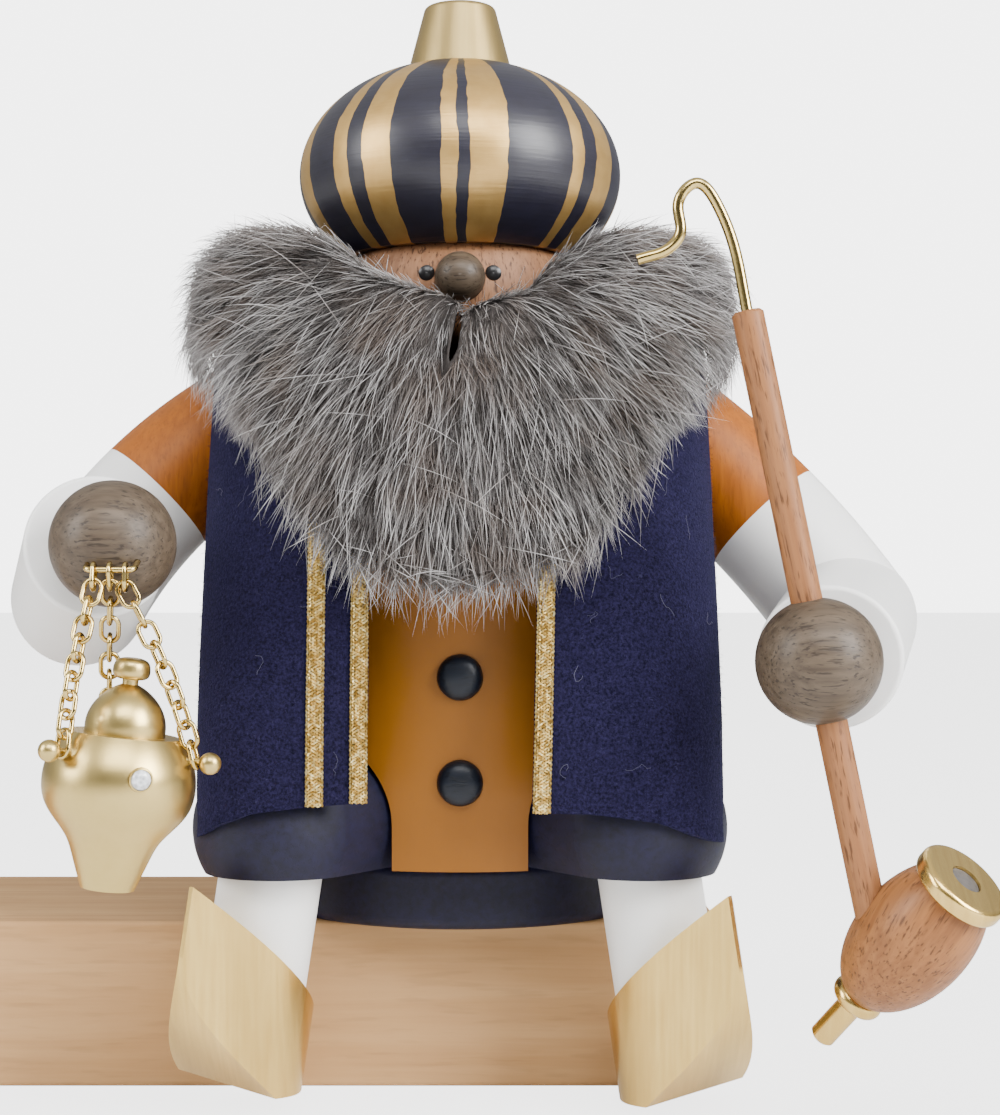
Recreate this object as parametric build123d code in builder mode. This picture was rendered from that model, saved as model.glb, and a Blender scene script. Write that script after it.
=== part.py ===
from build123d import *
import os
from math import asin, cos, degrees, radians, sin, sqrt, tan

os.makedirs("parts", exist_ok=True)

# Driving dimensions, in millimetres and degrees. Origin: centre of the seat's flat underside.
# Front is -Y, +Z is up, and the viewer's right is +X.
glue_gap = 0.05
running_gap = 0.05
overrun = 1.0

# Seat base, with the boss that centres the torso
flange_radius = 28.0
flange_height = 9.2
flange_edge_round = 1.6
boss_radius = 24.6
boss_top = 22.0
boss_edge_round = 0.8
duct_radius = 2.25
duct_height = 4.7
duct_reach = 16.5

# Ember tray and its nail
tray_radius = 10.5
tray_floor_radius = 8.5
tray_depth = 2.6
tray_sheet = 0.5
nail_radius = 0.8
nail_length = 9.0
nail_head_radius = 2.0
nail_head_height = 0.7

# Thighs, legs and shoes
thigh_splay = 38.0
thigh_radius = 12.2
thigh_root_radius = 11.5
thigh_axis_height = 15.4
thigh_root_reach = 22.0
thigh_dome_reach = 40.8
notch_gap = 0.4
dowel_radius = 2.0
hip_dowel_length = 14.0
knee_dowel_length = 12.0
leg_radius = 7.2
leg_spread = 26.4
leg_forward = 32.0
leg_lean = 8.5
leg_lengths = {"left": 29.8, "right": 31.0}
toe_out = 30.0
shoe_heel_radius = 8.7
shoe_toe_reach = 18.2
shoe_tip_half_width = 0.3
shoe_side_shares = (0.66, 0.6, 0.33)
shoe_ankle_height = 15.2
shoe_top_slope = 36.0
shoe_socket_floor = 6.0
prow_set_back = 15.0
prow_straight = 9.5
prow_knee_height = 10.5

# Torso, the hollow smoke chamber
torso_radius = 34.0
torso_wall = 9.0
torso_top = 78.0
torso_shoulder_round = 9.0
chamber_top = 60.0
channel_radius = 2.4
button_radius = 3.2
button_dome = 2.3
dome_shares = (0.8, 0.55)
button_peg_radius = 1.0
button_peg_length = 4.0
button_seat_depth = 0.25
button_heights = (36.3, 21.6)
neck_tube_radius = 4.0
neck_tube_length = 11.0
neck_tube_share = 0.75

# Head
head_radius = 18.0
head_rise = 13.0
head_crown_rise = 14.0
mouth_drop = 8.2
mouth_radius = 1.9
nose_radius = 3.7
nose_rise = 3.3
nose_seat_depth = 1.1
eye_radius = 1.15
eye_spread = 4.9
eye_rise = 4.0
eye_length = 3.0
eye_proud = 0.35

# Turban and finial
turban_overhang = 6.8
turban_half_height = 17.7
turban_rise = 7.0
turban_mouth_inset = 0.4
turban_crown_radius = 8.6
turban_gap = 0.15
turban_radius = head_radius + turban_overhang
crown_dowel_radius = 2.5
crown_dowel_length = 15.0
finial_radius = 8.0
finial_top_radius = 5.4
finial_height = 9.8
finial_round = 0.9
finial_peg_radius = 2.5
finial_peg_length = 6.0

# Arms: shoulder, elbow and cuff places by side, x measured outwards
arm_radius = 10.0
shoulder_flat = 32.0
shoulder_inner = (26.0, 0.0, 77.0)
shoulder_height = 73.2
arm_seams = {"left": (46.4, -4.0, 62.6), "right": (46.4, -4.0, 59.4)}
elbows = {"left": (57.4, -9.0, 47.0), "right": (58.6, -9.0, 43.8)}
cuffs = {"left": (48.5, -45.0, 54.4), "right": (49.5, -45.0, 39.4)}
hand_places = {"left": (45.3, -52.3, 54.6), "right": (46.8, -52.5, 39.3)}
elbow_radius = 10.1
cuff_radius = 9.8
cuff_round = 0.7
hand_radius = 8.3
shoulder_dowel_length = 8.0
elbow_dowel_length = 10.0
wrist_dowel_radius = 1.5
wrist_dowel_length = 6.0

# Coat of stiff felt: plan of its outer face at several heights
# Each row: height, how far the sides and the front stand outside the torso, radius of the front corners
coat_standoffs = (
    (10.0, 2.4, 12.2, 9.0),
    (30.0, 2.6, 10.6, 12.0),
    (50.0, 2.9, 6.6, 18.0),
    (70.0, 3.0, 3.8, 26.0),
    (84.5, 2.8, 3.0, 30.0),
    (87.5, 0.6, 0.8, 28.0),
)
coat_rows = [
    (height, torso_radius + aside, torso_radius + ahead, corner)
    for height, aside, ahead, corner in coat_standoffs
]
felt = 1.1
coat_neck_radius = 20.0
armhole_gap = 0.9
coat_thigh_gap = 0.5
coat_edge_left = 12.5
coat_edge_right_top = 11.6
coat_edge_right_hem = 9.2
hem_points = (
    (-39.0, 14.0), (-36.0, 14.6), (-33.0, 16.8), (-28.0, 18.6), (-20.0, 19.5), (-12.0, 20.1),
    (9.0, 18.7), (18.0, 18.5), (27.0, 17.3), (33.0, 15.0), (36.0, 14.0), (39.0, 14.0),
)
braid_width = 2.4
braid_thickness = 0.5
braid_top = 84.0
left_outer_braid_place = 19.5
left_inner_braid_place = 13.6

# Beard of long fur, as the solid that it fills
beard_gap = 0.35
beard_head_gap = 0.8
beard_collar = 4.5
beard_turban_gap = 2.2
beard_neck_heights = (88.6, 98.9)
# Each row: how far the fur stands outside the torso, height
beard_standoffs = (
    (6.0, 104.0), (10.0, 98.0), (13.5, 75.0), (14.0, 44.0), (8.8, 44.0), (4.6, 72.0), (4.6, 88.6),
)
beard_profile = [
    (head_radius + beard_head_gap, beard_neck_heights[0]),
    (head_radius + beard_head_gap, beard_neck_heights[1]),
    (head_radius + beard_collar, beard_neck_heights[1]),
    (turban_radius + beard_turban_gap, beard_standoffs[0][1]),
    *[(torso_radius + standoff, height) for standoff, height in beard_standoffs],
]
beard_outline = (
    (-42.0, 104.0), (-42.0, 86.0), (-34.0, 78.0), (-28.0, 70.0), (-22.0, 60.0), (-14.0, 50.0),
    (-4.0, 44.5), (6.0, 45.0), (16.0, 52.0), (24.0, 60.0), (30.0, 72.0), (36.0, 80.0), (42.0, 87.0),
    (42.0, 104.0), (37.0, 103.5), (27.0, 100.0), (18.0, 97.0), (14.0, 94.0), (5.5, 91.2),
    (-4.5, 91.2), (-12.0, 94.7), (-18.0, 97.0), (-27.0, 100.0), (-37.0, 103.5),
)
beard_sweep = 225.0
beard_side_bottom = 84.5
beard_side_place = 31.0
mouth_slot_half_width = 2.6
mouth_slot_heights = (79.5, 87.5)
nose_notch_half_width = 4.5
nose_notch_bottom = 89.8

# Censer: staple, chains and vessel, hung in front of the figure's right hand
staple_offset = (1.1, -9.2, -3.4)
staple_bend = 0.8
staple_wire_radius = 0.4
staple_span = 6.2
staple_leg_length = 4.2
chain_wire_radius = 0.31
chain_spread = 2.0
chain_slacks = {"left": 0.45, "back": 0.45, "right": 0.75}
chain_lean_share = 0.75
top_link_pitch = 2.6
top_link_leans = (-18.0, 21.0, 0.0)
link_inner_width = 1.56
link_count = 9
link_play = 0.06
vessel_place = (-42.3, -61.5, 30.5)
vessel_lean = 6.5
vessel_rows = (
    (7.15, 0.0), (8.5, 2.0), (9.5, 4.5), (9.66, 5.9), (9.25, 8.8), (7.25, 11.7), (5.9, 13.4),
    (4.8, 15.9), (3.9, 18.3), (3.4, 19.6),
)
lid_radius = 5.1
lid_height = 6.3
lid_spigot_radius = 3.6
lid_spigot_length = 2.0
knob_radius = 2.35
knob_half_height = 1.4
knob_neck_radius = 1.0
knob_neck_length = 0.6
lid_lip = 0.8
lid_shares = (0.94, 0.4, 0.62, 0.78)
pin_drop = 2.3
chain_bows = {"left": 0.6, "back": 0.6, "right": 1.1}
pin_angles = {"left": -41.0, "right": 79.0, "back": 199.0}
pin_ball_radius = 1.4
pin_ball_reach = 11.6
pin_shank_radius = 0.4
pin_shank_depth = 1.1
link_reach = 9.5
stone_radius = 1.45
stone_height = 1.1
stone_reach = 9.2
stone_angle = 24.0
stone_drop = 4.6

# Pipe, held in the bore of the figure's left hand
stem_radius = 2.1
stem_chamfer = 0.4
stem_tilt = 11.6
stem_above_hand = 46.6
stem_below_hand = 38.0
wire_radius = 0.75
wire_seat = 3.5
wire_points = ((33.55, 98.8), (30.8, 101.6), (28.5, 99.2), (28.7, 95.0), (27.1, 93.0), (23.1, 91.6))
bowl_place = (58.4, -52.5, 2.6)
bowl_axis = (0.503, -0.46, 0.728)
bowl_radius = 7.5
bowl_half_length = 12.4
bowl_belly_offset = 1.2
bowl_top_offset = 9.9
bowl_foot_offset = 10.1
rim_radius = 6.35
rim_thickness = 2.6
rim_round = 0.9
plug_radius = 2.15
plug_depth = 4.5
plug_drop = 0.4
bead_radius = 3.1
bead_length = 1.9
peg_radius = 1.75
peg_length = 7.5
peg_seat = 3.0
peg_chamfer = 0.4
bead_share = 0.25

sides = {"left": -1, "right": 1}


def keep(piece, name):
    """Label a finished piece and write it as its own file."""
    piece.part.label = name
    export_step(piece.part, f"parts/{name}.step")


def mirrored(point, side):
    """A place whose x is measured outwards, on the given side."""
    return Vector(sides[side] * point[0], point[1], point[2])


def turning_plane(origin, axis, aside=(0, 1, 0)):
    """Plane whose x is a radius and whose y runs along a turned piece's axis."""
    along = Vector(*axis).normalized()
    radius = Vector(*aside).cross(along).normalized()
    return Plane(origin=origin, x_dir=radius, z_dir=radius.cross(along))


def crossing_plane(origin, axis, aside=(0, 1, 0)):
    """Plane square to an axis, for round sections along it."""
    along = Vector(*axis).normalized()
    return Plane(origin=origin, x_dir=Vector(*aside).cross(along).normalized(), z_dir=along)


def pin_between(start, axis, length, radius):
    """Round pin or drill shape, from a start point along an axis."""
    with BuildPart() as pin:
        with BuildSketch(crossing_plane(start, axis)):
            Circle(radius)
        extrude(amount=length)
    return pin.part


def cap_middle(radius, rise):
    """Offsets from a cap's edge ring, at half its arc, for a round cap of a given rise."""
    ball = (radius**2 + rise**2) / (2 * rise)
    half = asin(radius / ball) / 2
    return ball * sin(half), rise - ball * (1 - cos(half))


# Thigh axes and the dowels along them
thigh_axes = {
    side: Vector(sign * sin(radians(thigh_splay)), -cos(radians(thigh_splay)), 0)
    for side, sign in sides.items()
}
thigh_centre = Vector(0, 0, thigh_axis_height)
hip_starts = {
    side: thigh_centre + axis * (thigh_root_reach - hip_dowel_length / 2)
    for side, axis in thigh_axes.items()
}
leg_axes = {
    side: Vector(sign * sin(radians(leg_lean)), 0, -cos(radians(leg_lean)))
    for side, sign in sides.items()
}
leg_tops = {side: mirrored((leg_spread, -leg_forward, flange_height), side) for side in sides}
knee_starts = {side: leg_tops[side] - leg_axes[side] * (knee_dowel_length / 2) for side in sides}
hip_bores = [
    pin_between(hip_starts[side] - axis * glue_gap, axis, hip_dowel_length + 2 * glue_gap,
                dowel_radius + glue_gap)
    for side, axis in thigh_axes.items()
]
knee_bores = [
    pin_between(knee_starts[side] - leg_axes[side] * glue_gap, leg_axes[side],
                knee_dowel_length + 2 * glue_gap, dowel_radius + glue_gap)
    for side in sides
]

# Seat base: a turned disc with a boss, flats for the thighs, an air duct from the back
tray_nail_hole = pin_between((0, 0, boss_top + tray_sheet - nail_length - glue_gap), (0, 0, 1),
                             nail_length, nail_radius + glue_gap / 2)
with BuildPart() as seat_base:
    with BuildSketch(Plane.XZ):
        with BuildLine():
            Polyline(
                (0, 0), (flange_radius, 0), (flange_radius, flange_height),
                (boss_radius, flange_height), (boss_radius, boss_top), (0, boss_top), close=True,
            )
        make_face()
    revolve(axis=Axis.Z)
    rims = seat_base.edges().filter_by(GeomType.CIRCLE)
    fillet(rims.filter_by(lambda e: e.radius > flange_radius - glue_gap), flange_edge_round)
    fillet(seat_base.edges().filter_by(GeomType.CIRCLE).group_by(Axis.Z)[-1], boss_edge_round)
    for side, axis in thigh_axes.items():
        flat = Plane(origin=thigh_centre + axis * thigh_root_reach, x_dir=(0, 0, 1), z_dir=axis)
        with BuildSketch(flat):
            with Locations(((boss_top + overrun + flange_height) / 2 - thigh_axis_height, 0)):
                Rectangle(boss_top + overrun - flange_height, 2 * boss_radius)
        extrude(amount=boss_radius, mode=Mode.SUBTRACT)
    for bore in hip_bores:
        add(bore, mode=Mode.SUBTRACT)
    add(tray_nail_hole, mode=Mode.SUBTRACT)
    with BuildSketch(Plane.XZ.offset(-flange_radius - overrun)):
        with Locations((0, duct_height)):
            Circle(duct_radius)
    extrude(amount=flange_radius + overrun - duct_reach + duct_radius, mode=Mode.SUBTRACT)
    with BuildSketch(Plane.XY.offset(duct_height)):
        with Locations((0, duct_reach)):
            Circle(duct_radius)
    extrude(amount=boss_top, mode=Mode.SUBTRACT)
keep(seat_base, "seat_base")

# Pressed tray with a raised rim, and the nail through its floor
with BuildPart() as ember_tray:
    with BuildSketch(Plane.XZ):
        with BuildLine():
            Polyline(
                (nail_radius + glue_gap, boss_top), (tray_floor_radius, boss_top),
                (tray_radius, boss_top + tray_depth),
                (tray_radius + tray_sheet, boss_top + tray_depth),
                (tray_radius + tray_sheet, boss_top + tray_depth + tray_sheet),
                (tray_radius - tray_sheet / 2, boss_top + tray_depth + tray_sheet),
                (tray_floor_radius - tray_sheet / 2, boss_top + tray_sheet),
                (nail_radius + glue_gap, boss_top + tray_sheet), close=True,
            )
        make_face()
    revolve(axis=Axis.Z)
keep(ember_tray, "ember_tray")

with BuildPart() as tray_nail:
    with BuildSketch(Plane.XZ):
        with BuildLine():
            tray_top = boss_top + tray_sheet
            cap_x, cap_y = cap_middle(nail_head_radius, nail_head_height)
            Polyline((0, tray_top + nail_head_height), (0, tray_top - nail_length),
                     (nail_radius, tray_top - nail_length), (nail_radius, tray_top),
                     (nail_head_radius, tray_top))
            ThreePointArc((nail_head_radius, tray_top), (cap_x, tray_top + cap_y),
                          (0, tray_top + nail_head_height))
        make_face()
    revolve(axis=Axis.Z)
keep(tray_nail, "tray_nail")

# Thighs: slightly swelling barrels with a domed knee end, cut flat underneath
for side, axis in thigh_axes.items():
    with BuildPart() as thigh:
        with BuildSketch(turning_plane(thigh_centre, axis, (0, 0, 1))):
            with BuildLine():
                dome_reach = thigh_dome_reach + thigh_radius
                Polyline((0, dome_reach), (0, thigh_root_reach), (thigh_root_radius, thigh_root_reach),
                         (thigh_radius, thigh_dome_reach))
                CenterArc((0, thigh_dome_reach), thigh_radius, 0, 90)
            make_face()
        revolve(axis=Axis(thigh_centre, axis))
        split(bisect_by=Plane.XY.offset(flange_height), keep=Keep.TOP)
        for bore in hip_bores + knee_bores:
            add(bore, mode=Mode.SUBTRACT)
    keep(thigh, f"{side}_thigh")

with BuildPart() as hip_dowels:
    for side, axis in thigh_axes.items():
        with BuildSketch(crossing_plane(hip_starts[side], axis)):
            Circle(dowel_radius)
        extrude(amount=hip_dowel_length)
keep(hip_dowels, "hip_dowels")

with BuildPart() as knee_dowels:
    for side, axis in leg_axes.items():
        with BuildSketch(crossing_plane(knee_starts[side], axis)):
            Circle(dowel_radius)
        extrude(amount=knee_dowel_length)
keep(knee_dowels, "knee_dowels")

# Lower legs lean outwards, and end in the sockets of the shoes
for side, axis in leg_axes.items():
    leg_run = leg_lengths[side] - shoe_socket_floor
    with BuildPart() as leg:
        with BuildSketch(crossing_plane(leg_tops[side] - axis * leg_radius, axis)):
            Circle(leg_radius)
        extrude(amount=leg_run + leg_radius)
        split(bisect_by=Plane.XY.offset(flange_height), keep=Keep.BOTTOM)
        for bore in knee_bores:
            add(bore, mode=Mode.SUBTRACT)
    keep(leg, f"{side}_leg")

# Shoes: a boat-bow plan cut by a side profile with a rising top and a curved prow
tip_height = shoe_ankle_height + shoe_toe_reach * sin(radians(shoe_top_slope)) / cos(radians(shoe_top_slope))
heel_height = shoe_ankle_height - shoe_heel_radius * tan(radians(shoe_top_slope))
for side, axis in leg_axes.items():
    sign = sides[side]
    sole_centre = leg_tops[side] + axis * leg_lengths[side]
    up = axis * -1
    outward = Vector(sign * cos(radians(leg_lean)), 0, sign * sign * sin(radians(leg_lean)))
    toe = Vector(0, -1, 0) * cos(radians(toe_out)) + outward * sin(radians(toe_out))
    sole = Plane(origin=sole_centre, x_dir=toe, z_dir=up)
    flank = Plane(origin=sole_centre, x_dir=toe, z_dir=toe.cross(up))
    with BuildPart() as shoe:
        with BuildSketch(sole):
            with BuildLine():
                half_plan = Bezier(
                    (shoe_toe_reach, shoe_tip_half_width),
                    (shoe_toe_reach * shoe_side_shares[0], shoe_heel_radius * shoe_side_shares[1]),
                    (shoe_toe_reach * shoe_side_shares[2], shoe_heel_radius),
                    (0, shoe_heel_radius),
                )
                mirror(half_plan, about=Plane.XZ)
                Line((shoe_toe_reach, -shoe_tip_half_width), (shoe_toe_reach, shoe_tip_half_width))
                ThreePointArc((0, shoe_heel_radius), (-shoe_heel_radius, 0), (0, -shoe_heel_radius))
            make_face()
        extrude(amount=tip_height + overrun)
        with BuildSketch(flank):
            with BuildLine():
                prow_start = (shoe_toe_reach, tip_height - prow_straight)
                Polyline(
                    prow_start, (shoe_toe_reach, tip_height),
                    (-shoe_heel_radius - overrun, heel_height - overrun),
                    (-shoe_heel_radius - overrun, 0), (shoe_toe_reach - prow_set_back, 0),
                )
                Bezier(
                    (shoe_toe_reach - prow_set_back, 0),
                    (shoe_toe_reach - shoe_tip_half_width, prow_knee_height),
                    prow_start,
                )
            make_face()
        extrude(amount=shoe_heel_radius + overrun, both=True, mode=Mode.INTERSECT)
        add(pin_between(sole_centre + up * shoe_socket_floor, up, tip_height, leg_radius + glue_gap),
            mode=Mode.SUBTRACT)
    keep(shoe, f"{side}_shoe")

# The bent line of each arm, its seam above the elbow, and the dowel bores on it
arm_arcs = {
    side: Edge.make_three_point_arc(mirrored(shoulder_inner, side), mirrored(arm_seams[side], side),
                                    mirrored(elbows[side], side))
    for side in sides
}
seam_shares = {side: arm_arcs[side].param_at_point(mirrored(arm_seams[side], side)) for side in sides}
seam_axes = {side: arm_arcs[side].tangent_at(seam_shares[side]) for side in sides}
cuff_axes = {
    side: (mirrored(cuffs[side], side) - mirrored(elbows[side], side)).normalized() for side in sides
}
elbow_bores = {
    side: pin_between(mirrored(arm_seams[side], side) - seam_axes[side] * (elbow_dowel_length / 2 + glue_gap),
                      seam_axes[side], elbow_dowel_length + 2 * glue_gap, dowel_radius + glue_gap)
    for side in sides
}
wrist_bores = {
    side: pin_between(mirrored(cuffs[side], side) - cuff_axes[side] * (wrist_dowel_length / 2 + glue_gap),
                      cuff_axes[side], wrist_dowel_length + 2 * glue_gap, wrist_dowel_radius + glue_gap)
    for side in sides
}


def arm_tube(side, radius):
    """Round bar along the whole bent arm from the shoulder to the elbow."""
    with BuildPart() as tube:
        with BuildLine():
            add(arm_arcs[side])
        with BuildSketch(crossing_plane(arm_arcs[side].position_at(0), arm_arcs[side].tangent_at(0))):
            Circle(radius)
        sweep()
    return tube.part


arm_rooms = []
for side, sign in sides.items():
    arm_room = arm_tube(side, arm_radius + notch_gap)
    with BuildPart() as outer_room:
        add(arm_room)
        split(bisect_by=Plane(origin=(sign * shoulder_flat, 0, 0), z_dir=(sign, 0, 0)), keep=Keep.TOP)
    arm_rooms.append(outer_room.part)

# Torso: turned shell with the smoke chamber, notches over the thighs and flats for the arms
seat_flat = sqrt(torso_radius**2 - button_radius**2) - button_seat_depth
shoulder_bores = [
    pin_between((sign * (shoulder_flat - shoulder_dowel_length / 2 - glue_gap), 0, shoulder_height),
                (sign, 0, 0), shoulder_dowel_length + 2 * glue_gap, dowel_radius + glue_gap)
    for sign in sides.values()
]
with BuildPart() as torso:
    with BuildSketch(Plane.XZ):
        with BuildLine():
            FilletPolyline(
                (torso_radius, flange_height), (torso_radius, torso_top), (0, torso_top),
                radius=torso_shoulder_round,
            )
            Polyline((0, torso_top), (0, chamber_top), (torso_radius - torso_wall, chamber_top),
                     (torso_radius - torso_wall, flange_height), (torso_radius, flange_height))
        make_face()
    revolve(axis=Axis.Z)
    for side, axis in thigh_axes.items():
        notch = Plane(origin=thigh_centre, x_dir=Vector(0, 0, 1).cross(axis), z_dir=axis)
        with BuildSketch(notch):
            Circle(thigh_radius + notch_gap)
            with Locations((0, -thigh_axis_height / 2)):
                Rectangle(2 * (thigh_radius + notch_gap), thigh_axis_height)
        extrude(amount=torso_radius + overrun, mode=Mode.SUBTRACT)
    for cut in arm_rooms + shoulder_bores:
        add(cut, mode=Mode.SUBTRACT)
    for height in button_heights:
        with BuildSketch(Plane.XZ.offset(seat_flat)):
            with Locations((0, height)):
                Circle(button_radius + glue_gap)
        extrude(amount=torso_radius, mode=Mode.SUBTRACT)
        with BuildSketch(Plane.XZ.offset(seat_flat - button_peg_length - glue_gap)):
            with Locations((0, height)):
                Circle(button_peg_radius + glue_gap)
        extrude(amount=torso_radius, mode=Mode.SUBTRACT)
    add(pin_between((0, 0, chamber_top - overrun), (0, 0, 1), torso_top, channel_radius),
        mode=Mode.SUBTRACT)
    neck_tube_bottom = torso_top - neck_tube_length * neck_tube_share
    add(pin_between((0, 0, neck_tube_bottom), (0, 0, 1), torso_top, neck_tube_radius + glue_gap),
        mode=Mode.SUBTRACT)
keep(torso, "torso")

with BuildPart() as buttons:
    for height in button_heights:
        with BuildSketch(turning_plane((0, -seat_flat, height), (0, -1, 0), (0, 0, 1))):
            with BuildLine():
                Polyline((0, button_dome), (0, -button_peg_length), (button_peg_radius, -button_peg_length),
                         (button_peg_radius, 0), (button_radius, 0), (button_radius, button_seat_depth))
                Bezier(
                    (button_radius, button_seat_depth), (button_radius, button_dome * dome_shares[0]),
                    (button_radius * dome_shares[1], button_dome), (0, button_dome),
                )
            make_face()
        revolve(axis=Axis((0, -seat_flat, height), (0, -1, 0)))
keep(buttons, "buttons")

with BuildPart() as neck_tube:
    with BuildSketch(Plane.XY.offset(neck_tube_bottom)):
        Circle(neck_tube_radius)
        Circle(channel_radius, mode=Mode.SUBTRACT)
    extrude(amount=neck_tube_length)
keep(neck_tube, "neck_tube")

# Head: a ball with flats for neck and turban, the smoke channel and the open mouth
neck_tube_top = neck_tube_bottom + neck_tube_length
head_height = torso_top + head_rise
head_crown_height = head_height + head_crown_rise
mouth_height = head_height - mouth_drop
nose_height = head_height + nose_rise
eye_height = head_height + eye_rise
nose_flat = sqrt(head_radius**2 - nose_rise**2) - nose_seat_depth + running_gap
eye_surface = sqrt(head_radius**2 - eye_rise**2 - eye_spread**2)
crown_dowel_start = head_crown_height - crown_dowel_length / 2
with BuildPart() as head:
    with BuildSketch(Plane.XZ):
        with BuildLine():
            low = sqrt(head_radius**2 - head_rise**2)
            high = sqrt(head_radius**2 - head_crown_rise**2)
            Polyline((high, head_crown_height), (0, head_crown_height), (0, torso_top), (low, torso_top))
            ThreePointArc((low, torso_top), (head_radius, head_height), (high, head_crown_height))
        make_face()
    revolve(axis=Axis.Z)
    add(pin_between((0, 0, torso_top - overrun), (0, 0, 1), neck_tube_top - torso_top + overrun + glue_gap,
                    neck_tube_radius + glue_gap), mode=Mode.SUBTRACT)
    add(pin_between((0, 0, torso_top), (0, 0, 1), mouth_height - torso_top + channel_radius,
                    channel_radius), mode=Mode.SUBTRACT)
    with BuildSketch(Plane.XZ):
        with Locations((0, mouth_height)):
            Circle(mouth_radius)
    extrude(amount=head_radius + overrun, mode=Mode.SUBTRACT)
    with BuildSketch(Plane.XZ.offset(nose_flat)):
        with Locations((0, nose_height)):
            Circle(nose_radius + glue_gap)
    extrude(amount=head_radius, mode=Mode.SUBTRACT)
    with BuildSketch(Plane.XZ.offset(eye_surface - eye_length - glue_gap)):
        with Locations((-eye_spread, eye_height), (eye_spread, eye_height)):
            Circle(eye_radius + glue_gap)
    extrude(amount=head_radius, mode=Mode.SUBTRACT)
    add(pin_between((0, 0, crown_dowel_start - glue_gap), (0, 0, 1), crown_dowel_length,
                    crown_dowel_radius + glue_gap), mode=Mode.SUBTRACT)
keep(head, "head")

with BuildPart() as nose:
    with BuildSketch(turning_plane((0, -nose_flat - nose_seat_depth, nose_height), (0, -1, 0), (0, 0, 1))):
        with BuildLine():
            nose_flat_radius = sqrt(nose_radius**2 - nose_seat_depth**2)
            Polyline((0, nose_radius), (0, -nose_seat_depth), (nose_flat_radius, -nose_seat_depth))
            CenterArc((0, 0), nose_radius, -degrees(asin(nose_seat_depth / nose_radius)),
                      90 + degrees(asin(nose_seat_depth / nose_radius)))
        make_face()
    revolve(axis=Axis((0, -nose_flat, nose_height), (0, -1, 0)))
keep(nose, "nose")

with BuildPart() as eyes:
    for sign in sides.values():
        eye_place = (sign * eye_spread, -eye_surface + eye_length, eye_height)
        with BuildSketch(turning_plane(eye_place, (0, -1, 0), (0, 0, 1))):
            with BuildLine():
                Polyline((0, eye_length + eye_proud), (0, 0), (eye_radius, 0), (eye_radius, eye_length))
                cap_x, cap_y = cap_middle(eye_radius, eye_proud)
                ThreePointArc((eye_radius, eye_length), (cap_x, eye_length + cap_y),
                              (0, eye_length + eye_proud))
            make_face()
        revolve(axis=Axis(eye_place, (0, -1, 0)))
keep(eyes, "eyes")

with BuildPart() as crown_dowel:
    with BuildSketch(Plane.XY.offset(crown_dowel_start)):
        Circle(crown_dowel_radius)
    extrude(amount=crown_dowel_length - 2 * glue_gap)
keep(crown_dowel, "crown_dowel")

# Turban: a flattened ball over the head, with a socket for the finial
turban_middle = head_crown_height + turban_rise
turban_mouth_radius = head_radius - turban_mouth_inset
turban_bottom = turban_middle - turban_half_height * sqrt(1 - (turban_mouth_radius / turban_radius) ** 2)
turban_top = turban_middle + turban_half_height * sqrt(1 - (turban_crown_radius / turban_radius) ** 2)
turban_bore = sqrt(head_radius**2 - (turban_bottom - head_height) ** 2) + turban_gap
with BuildPart() as turban:
    with BuildSketch(Plane.XZ):
        with Locations((0, turban_middle)):
            Ellipse(turban_radius, turban_half_height)
        with Locations((turban_radius / 2, (turban_bottom + turban_top) / 2)):
            Rectangle(turban_radius, turban_top - turban_bottom, mode=Mode.INTERSECT)
        with Locations((turban_bore / 2, (turban_bottom + head_crown_height) / 2)):
            Rectangle(turban_bore, head_crown_height - turban_bottom, mode=Mode.SUBTRACT)
    revolve(axis=Axis.Z)
    add(pin_between((0, 0, head_crown_height - overrun), (0, 0, 1),
                    crown_dowel_start + crown_dowel_length - head_crown_height + overrun + glue_gap,
                    crown_dowel_radius + glue_gap), mode=Mode.SUBTRACT)
    add(pin_between((0, 0, turban_top - finial_peg_length - glue_gap), (0, 0, 1), turban_radius,
                    finial_peg_radius + glue_gap), mode=Mode.SUBTRACT)
keep(turban, "turban")

with BuildPart() as finial:
    with BuildSketch(Plane.XZ):
        with BuildLine():
            FilletPolyline(
                (finial_radius, turban_top), (finial_top_radius, turban_top + finial_height),
                (0, turban_top + finial_height), radius=finial_round,
            )
            Polyline((0, turban_top + finial_height), (0, turban_top - finial_peg_length),
                     (finial_peg_radius, turban_top - finial_peg_length),
                     (finial_peg_radius, turban_top), (finial_radius, turban_top))
        make_face()
    revolve(axis=Axis.Z)
keep(finial, "finial")

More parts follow.
